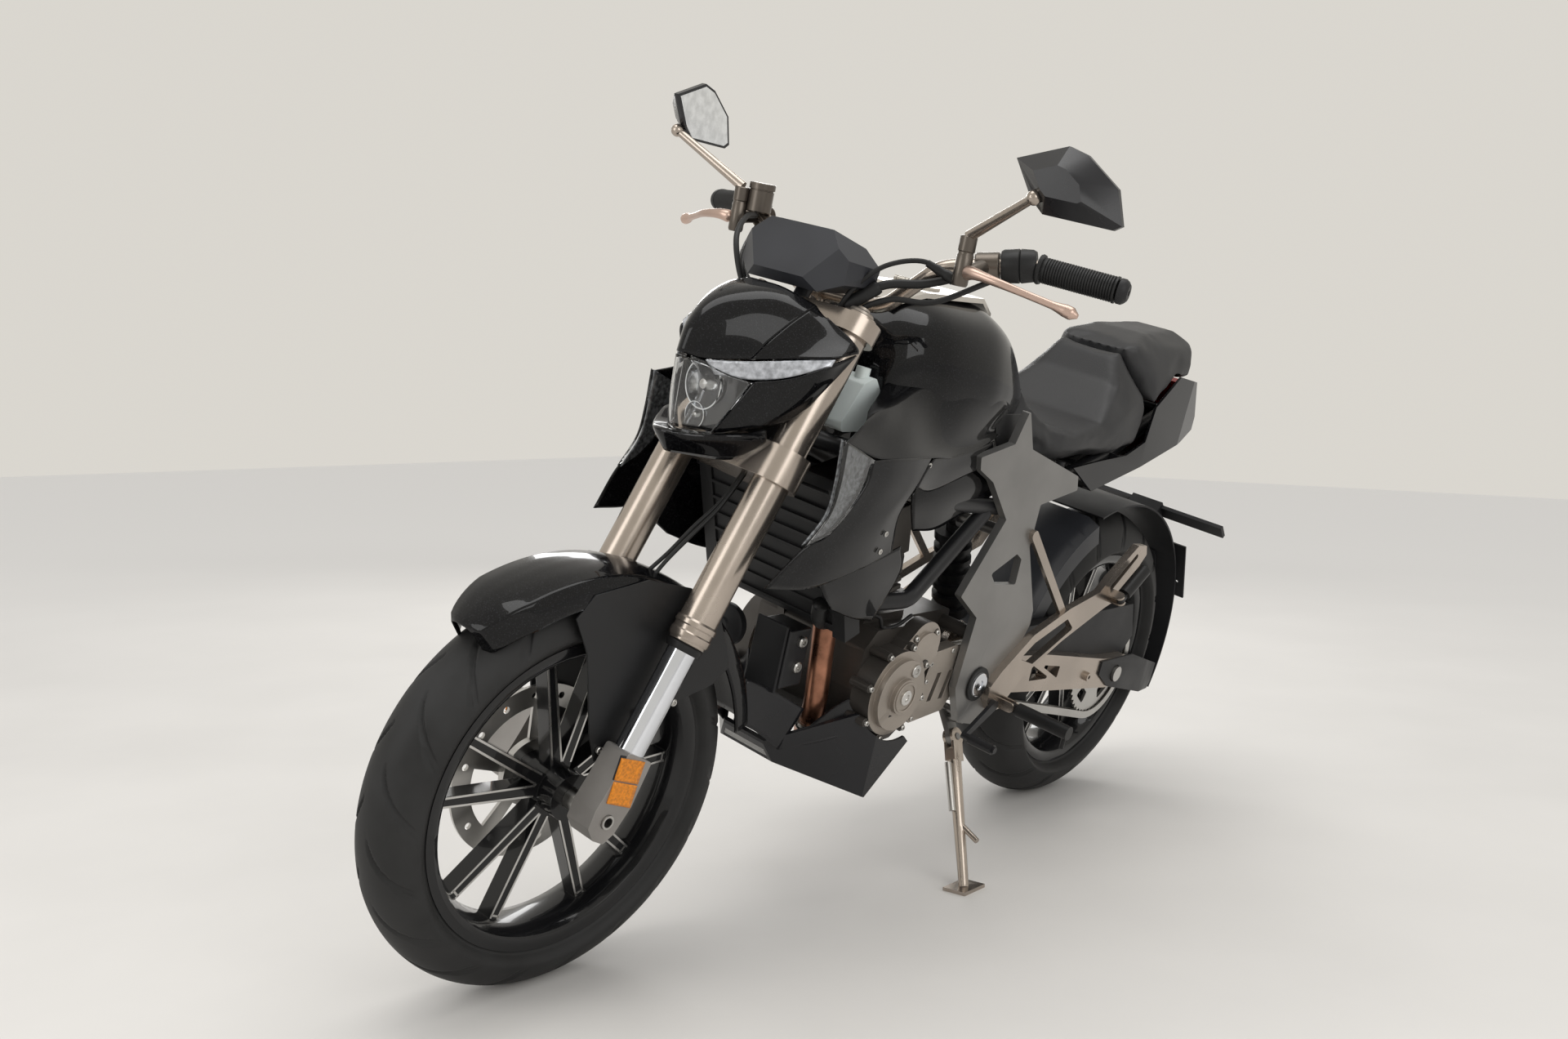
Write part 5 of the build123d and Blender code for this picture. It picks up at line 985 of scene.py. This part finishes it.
turned("pipe_collar", [(0, 19.2), (0, 23), (3, 24.5), (9, 24.5), (12, 23), (12, 19.2)], bike(890, 50, 318),
       bike(902, 60, 372) - bike(872, 40, 258), STEEL, "chassis", 40)

# %% Fins of the belly pan
PAN_NOSE = [[(1052, 34, 416), (1000, 52, 394), (946, 74, 366)],
            [(1062, 38, 384), (1010, 50, 362), (958, 68, 330)],
            [(1069, 40, 352), (1020, 49, 328), (972, 61, 294)]]
PAN_SHELF = [[(912, 80, 346), (896, 96, 372), (884, 110, 388)],
             [(938, 72, 322), (900, 104, 346), (858, 138, 380)],
             [(971, 61, 295), (903, 122, 332), (832, 163, 372)]]
for hand, turn_over in (("left", np.asarray), ("right", flipped)):
    panel(f"pan_nose_{hand}", placed(patch(turn_over(PAN_NOSE), 12, 20)), SATIN, "chassis", 3.0,
          towards=bike(900, 0, 500))
    panel(f"pan_shelf_{hand}", placed(patch(turn_over(PAN_SHELF), 12, 20)), SATIN, "chassis", 3.0,
          towards=bike(900, 0, 300))

# %% Fork legs, reflectors and the screws of the fender and the wings
screws("fender_screws_left", steered([1315, 1248, 1372], [68.5] * 3, [416, 424, 372]), FORK_LEFT, STEEL,
       "steering", 5.5, 3.5, 14)
screws("fender_screws_right", steered([1315, 1248, 1372], [-68.5] * 3, [416, 424, 372]), -FORK_LEFT, STEEL,
       "steering", 5.5, 3.5, 14)
screws("wing_screws_left", bike([1010, 1010, 905], [191, 188, 168], [700, 672, 792]), LEFT, STEEL, "chassis", 4.5, 2.0)
screws("wing_screws_right", bike([1010, 1010, 905], [-191, -188, -168], [700, 672, 792]), -LEFT, STEEL,
       "chassis", 4.5, 2.0)
for hand in (-1, 1):
    side_name = "left" if hand > 0 else "right"
    for node, radius, low, high, surface in (("fork_inner_tubes", 21, 76, 300, CHROME),
                                             ("fork_outer_tubes", 27, 258, 772, CHAMPAGNE)):
        leg = turned(f"{node}_{side_name}", [(0, radius - 4), (0, radius - 1), (1, radius),
                                             (high - low - 1, radius), (high - low, radius - 1), (high - low, 1)],
                     fork(0, hand * 98, low), FORK_UP, surface, "steering", 96)
        if hand > 0:
            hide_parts(node)
    turned(f"dust_seal_{side_name}", [(0, 21.2), (0, 25), (5, 26.4), (9, 26.4), (12, 24), (12, 21.2)],
           fork(0, hand * 98, 246), FORK_UP, RUBBER, "steering", 48)
    turned(f"tube_ring_{side_name}", [(0, 26.5), (0, 28.6), (3, 30), (10, 30), (12, 28.4), (19, 28.4), (21, 30),
                                      (27, 30), (30, 27.6), (30, 26)],
           fork(0, hand * 98, 262), FORK_UP, CHAMPAGNE, "steering", 56)
    turned(f"tube_cap_{side_name}", [(0, 4), (0, 20), (5, 20), (7, 18), (7, 11), (12, 11), (12, 6), (9, 5),
                                     (9, 0.4)], fork(0, hand * 98, 772), FORK_UP, COVER, "steering", 32)
REFLECTOR = np.array([[(1379, 124, 385), (1336, 124, 372)], [(1392, 124, 322), (1349, 124, 307)]], float)
for hand, turn_over in (("left", np.asarray), ("right", flipped)):
    top, low = REFLECTOR
    for cell, (start, end) in {"upper": (0.0, 0.485), "lower": (0.515, 1.0)}.items():
        part = np.stack([top + (low - top) * start, top + (low - top) * end])
        panel(f"reflector_{cell}_{hand}", placed(patch(turn_over(part), 10, 8), steered), AMBER, "steering",
              3.0, towards=FRONT_HUB)
    frame_of = np.stack([top + (top - low) * 0.04, low + (low - top) * 0.04]) - (0, 2.4, 0)
    panel(f"reflector_tray_{hand}", placed(patch(turn_over(frame_of), 4, 4), steered), PLASTIC, "steering", 3.0,
          towards=FRONT_HUB)

# %% [markdown]
# ## Controls
#
# Each hand has a perch with its lever, a switch pod and a patterned grip. A lever is a tube
# whose radius changes along it and ends in a ball, so one list of radii draws it whole.

# %% Levers, pods, perches and grips
BAR_BEND, GRIP_INNER, BAR_END = (985, 168, 1078), (927, 270, 1103), (884, 388, 1096)


def on_bar(start, end, share):
    return np.asarray(start, float) + (np.asarray(end, float) - start) * share


def barrel(name, start, end, profile, material, hand, sides=40):
    """Turned piece between two points of the left side, or their mirror image. Its profile is
    (share of the way, radius)."""
    a, b = (np.asarray(p, float) * (1, hand, 1) for p in (start, end))
    length = float(np.linalg.norm(b - a))
    head, tail = steered(*a), steered(*b)
    return turned(name, [(t * length, r) for t, r in profile], head, tail - head, material, "steering", sides)


LEVER = [(1006, 226, 1079), (1016, 250, 1081), (1012, 290, 1076), (992, 330, 1068), (972, 368, 1060), (964, 388, 1055)]
for hand, side_name in ((1, "left"), (-1, "right")):
    mirror = (1, hand, 1)
    perch = barrel(f"perch_{side_name}", on_bar(BAR_BEND, GRIP_INNER, 0.40), on_bar(BAR_BEND, GRIP_INNER, 0.68),
                   [(0, 12), (0, 18), (0.06, 19.5), (0.94, 19.5), (1, 18), (1, 12)], BRONZE, hand)
    barrel(f"perch_arm_{side_name}", on_bar(BAR_BEND, GRIP_INNER, 0.54) + (8, 0, -2), (1010, 232, 1079),
           [(0, 4), (0, 12), (0.9, 10), (1, 8), (1, 2)], BRONZE, hand)
    barrel(f"mirror_boss_{side_name}", (1007, 221, 1060), (1007, 221, 1128),
           [(0, 3), (0, 10), (0.05, 11.5), (0.62, 11.5), (0.64, 10.6), (0.68, 10.6), (0.70, 11.8), (0.98, 11.8),
            (1, 10), (1, 2)], BRONZE, hand)
    if hand > 0:
        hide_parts("hand_controls")
    lever = tube(f"lever_{side_name}", np.asarray(LEVER) * mirror,
                 [4, 10, 8.5, 7, 6.2, 5.6, 5.2, 5.2, 5.4, 8.6, 8.8, 3], ROSE,
                 "steering", sides=18, steps=60, place=steered)
    barrel(f"switch_pod_{side_name}", on_bar(BAR_BEND, GRIP_INNER, 0.70), on_bar(BAR_BEND, GRIP_INNER, 1.10),
           [(0, 12), (0, 21), (0.08, 23), (0.5, 23.5), (0.53, 22), (0.56, 23.5), (0.9, 22), (1, 19),
            (1, 12)], RUBBER, hand)
    grip_a, grip_b = on_bar(GRIP_INNER, BAR_END, 0.12), on_bar(GRIP_INNER, BAR_END, 1.0)
    ribs = [(0, 12), (0, 20), (0.02, 21), (0.05, 20), (0.06, 17)]
    for k in range(26):
        at = 0.08 + 0.034 * k
        ribs += [(at, 17.4), (at + 0.010, 17.9), (at + 0.022, 17.9), (at + 0.028, 16.6)]
    ribs += [(0.97, 17.4), (0.975, 18.5), (1.0, 18.5), (1.0, 11)]
    grip = barrel(f"grip_{side_name}", grip_a, grip_b, ribs, RUBBER, hand, 48)
    barrel(f"bar_weight_{side_name}", on_bar(GRIP_INNER, BAR_END, 1.005), on_bar(GRIP_INNER, BAR_END, 1.13),
           [(0, 5), (0, 14), (0.15, 17.5), (0.55, 17.5), (0.8, 15), (1, 11), (1, 4), (0.7, 3.8),
            (0.7, 0.5)], PLASTIC, hand)
    if hand > 0:
        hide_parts("grips")
barrel("brake_jar", (986, 200, 1094), (986, 200, 1139),
       [(0, 2), (0, 17), (0.05, 19.5), (0.74, 19.5), (0.75, 18.5), (0.78, 18.5), (0.79, 20.5), (0.97, 20.5),
        (1, 19.5), (1, 1)], BRONZE, -1, 56)

# %% Mirror glass and display
MIRROR = np.array([(-47, 1237), (21, 1262), (48, 1255), (97, 1221), (113, 1178), (102, 1171), (5, 1174),
                   (-15, 1190)], float)
MIRROR_GLASS = MIRROR.mean(axis=0) + (MIRROR - MIRROR.mean(axis=0)) * 0.92
for hand, side, turned_by, lift in (("left", 1, 10, 0), ("right", -1, 78, 8)):
    c, n = np.cos(np.radians(turned_by)), np.sin(np.radians(turned_by))
    glass_place = (lambda u, off, z, c=c, n=n, side=side, lift=lift:
                   steered(1034 + off * c - u * n, side * (340 + off * n + u * c), z + lift))
    plate(f"mirror_glass_{hand}", MIRROR_GLASS, -8.6, MIRROR_FINISH, "steering", 1.0, glass_place)
SCREEN = [[(1051, -68, 1085.2), (1051, 68, 1085.2)], [(1094, -48, 1100), (1094, 48, 1100)]]
panel("dash_screen", placed(patch(SCREEN, 3, 3), steered), GLASS_DARK, "steering", 1.0, towards=steered(1080, 0, 1040))

# %% [markdown]
# ## Cables and hoses
#
# Each hose is held at both ends, so it is a smooth line through a few chosen points, from
# its fitting to the place where it dives behind the bodywork.

# %% Cables and hoses
HOSES = [
    ("clutch_cable", [(1004, 204, 1066), (1024, 168, 1082), (1050, 128, 1068), (1068, 98, 1036),
                      (1076, 80, 1000), (1070, 66, 968)], 3.6),
    ("switch_loom_left", [(962, 206, 1078), (1000, 160, 1052), (1036, 120, 1040), (1058, 92, 1014),
                          (1068, 76, 985), (1060, 60, 955)], 6.5),
    ("start_loom_left", [(950, 230, 1072), (996, 178, 1030), (1030, 130, 1022), (1050, 96, 1000),
                         (1052, 70, 970)], 4.2),
    ("throttle_cable", [(960, -206, 1078), (1004, -180, 1060), (1050, -146, 1050), (1084, -116, 1020),
                        (1082, -90, 985), (1066, -66, 955)], 4.0),
    ("brake_hose_upper", [(1000, -190, 1090), (1040, -170, 1086), (1082, -140, 1058), (1094, -108, 1010),
                          (1080, -84, 965)], 4.4),
    ("switch_loom_right", [(950, -228, 1074), (1002, -196, 1040), (1052, -150, 1020), (1074, -110, 1000),
                           (1064, -76, 960)], 6.0),
    ("fender_hose_outer", [(1293, 32, 603), (1272, 34, 628), (1236, 38, 664), (1200, 42, 700), (1160, 46, 758),
                           (1128, 48, 800)], 3.0),
    ("fender_hose_inner", [(1290, 18, 606), (1262, 22, 632), (1228, 28, 670), (1192, 34, 706), (1154, 40, 762),
                           (1124, 44, 800)], 3.0)]
for name, route, radius in HOSES:
    tube(name, route, radius, RUBBER, "steering", sides=12, steps=56, place=steered)
barrel("loom_sleeve", (1040, 112, 1036), (1066, 80, 1000), [(0, 3), (0, 9), (0.1, 10.5), (0.5, 9.5),
                                                            (0.9, 10.5), (1, 9), (1, 3)], RUBBER, 1, 24)
barrel("cable_boot", (1000, 206, 1066), (1022, 172, 1081), [(0, 3), (0, 8), (0.3, 8), (0.4, 6), (0.6, 6.6),
                                                            (0.8, 5.4), (1, 5), (1, 2)], RUBBER, 1, 24)

# %% [markdown]
# ## Seats
#
# Both seats are foam under a vinyl cover. The exact solid is copied, remeshed finely and
# blown up a little as cloth, which rounds its edges as a stretched cover does. The movement
# is capped, so that the seat keeps its place on the bike.

# %% Vinyl and the padded seats
def vinyl():
    made = finish("matt_vinyl", (0.0165, 0.0165, 0.0175), 0.50, mottle=0.15, grain=700, bump=0.10)
    nodes, links = made.node_tree.nodes, made.node_tree.links
    shader = next(n for n in nodes if n.type == "BSDF_PRINCIPLED")
    pebble = nodes.new("ShaderNodeTexVoronoi")
    pebble.inputs["Scale"].default_value = 620.0
    links.new(nodes.new("ShaderNodeTexCoord").outputs["Object"], pebble.inputs["Vector"])
    relief = nodes.new("ShaderNodeBump")
    relief.inputs["Distance"].default_value = 0.12 * MM
    links.new(pebble.outputs["Distance"], relief.inputs["Height"])
    links.new(relief.outputs["Normal"], shader.inputs["Normal"])
    return made


VINYL = vinyl()


def padded_seat(name, node, voxel, cap, shrink, frames=20):
    """Cushion from the exact solid: shrunk, remeshed, blown up as cloth and capped in movement."""
    data = frame["nodes"][node].data.copy()
    piece = bpy.data.objects.new(name, data)
    bpy.context.scene.collection.objects.link(piece)
    face_out(piece)
    remesh = piece.modifiers.new("remesh", "REMESH")
    remesh.mode, remesh.voxel_size = "VOXEL", voxel * MM
    with bpy.context.temp_override(object=piece, active_object=piece):
        bpy.ops.object.modifier_apply(modifier="remesh")
    count = len(piece.data.vertices)
    rest, normal = np.zeros(count * 3), np.zeros(count * 3)
    piece.data.vertices.foreach_get("co", rest)
    piece.data.vertex_normals.foreach_get("vector", normal)
    rest = rest.reshape(-1, 3) - normal.reshape(-1, 3) * shrink * MM
    piece.data.vertices.foreach_set("co", rest.ravel())
    cloth = piece.modifiers.new("cloth", "CLOTH")
    cloth.settings.use_pressure, cloth.settings.uniform_pressure_force = True, 4.0
    cloth.settings.effector_weights.gravity = 0.0
    cloth.settings.quality = 5
    cloth.point_cache.frame_start, cloth.point_cache.frame_end = 1, frames
    for step in range(1, frames + 1):
        bpy.context.scene.frame_set(step)
    shaped = piece.evaluated_get(bpy.context.evaluated_depsgraph_get()).to_mesh()
    moved = np.zeros(count * 3)
    shaped.vertices.foreach_get("co", moved)
    piece.evaluated_get(bpy.context.evaluated_depsgraph_get()).to_mesh_clear()
    piece.modifiers.remove(cloth)
    bpy.context.scene.frame_set(1)
    step = moved.reshape(-1, 3) - rest
    far = np.linalg.norm(step, axis=1)
    step *= (np.minimum(far, cap * MM) / np.maximum(far, 1e-9))[:, None]
    piece.data.vertices.foreach_set("co", (rest + step).ravel())
    print(name, "moved at most", round(float(far.max()) * 1000, 1), "mm before the cap")
    calm = piece.modifiers.new("calm", "SMOOTH")
    calm.factor, calm.iterations = 0.5, 12
    fine = piece.modifiers.new("fine", "SUBSURF")
    fine.levels = fine.render_levels = 1
    with bpy.context.temp_override(object=piece, active_object=piece):
        bpy.ops.object.modifier_apply(modifier="calm")
        bpy.ops.object.modifier_apply(modifier="fine")
    piece.data.polygons.foreach_set("use_smooth", [True] * len(piece.data.polygons))
    piece.data.materials.clear()
    piece.data.materials.append(VINYL)
    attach(piece, "chassis")
    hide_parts(node)
    return piece


rider_seat = padded_seat("rider_saddle", "rider_seat", 5.0, 6.0, 3.0)
pillion_seat = padded_seat("pillion_pad", "pillion_seat", 5.0, 5.0, 2.5)
print("seat faces", len(rider_seat.data.polygons), len(pillion_seat.data.polygons))

# %% [markdown]
# ## Last step

# %% The end
import json
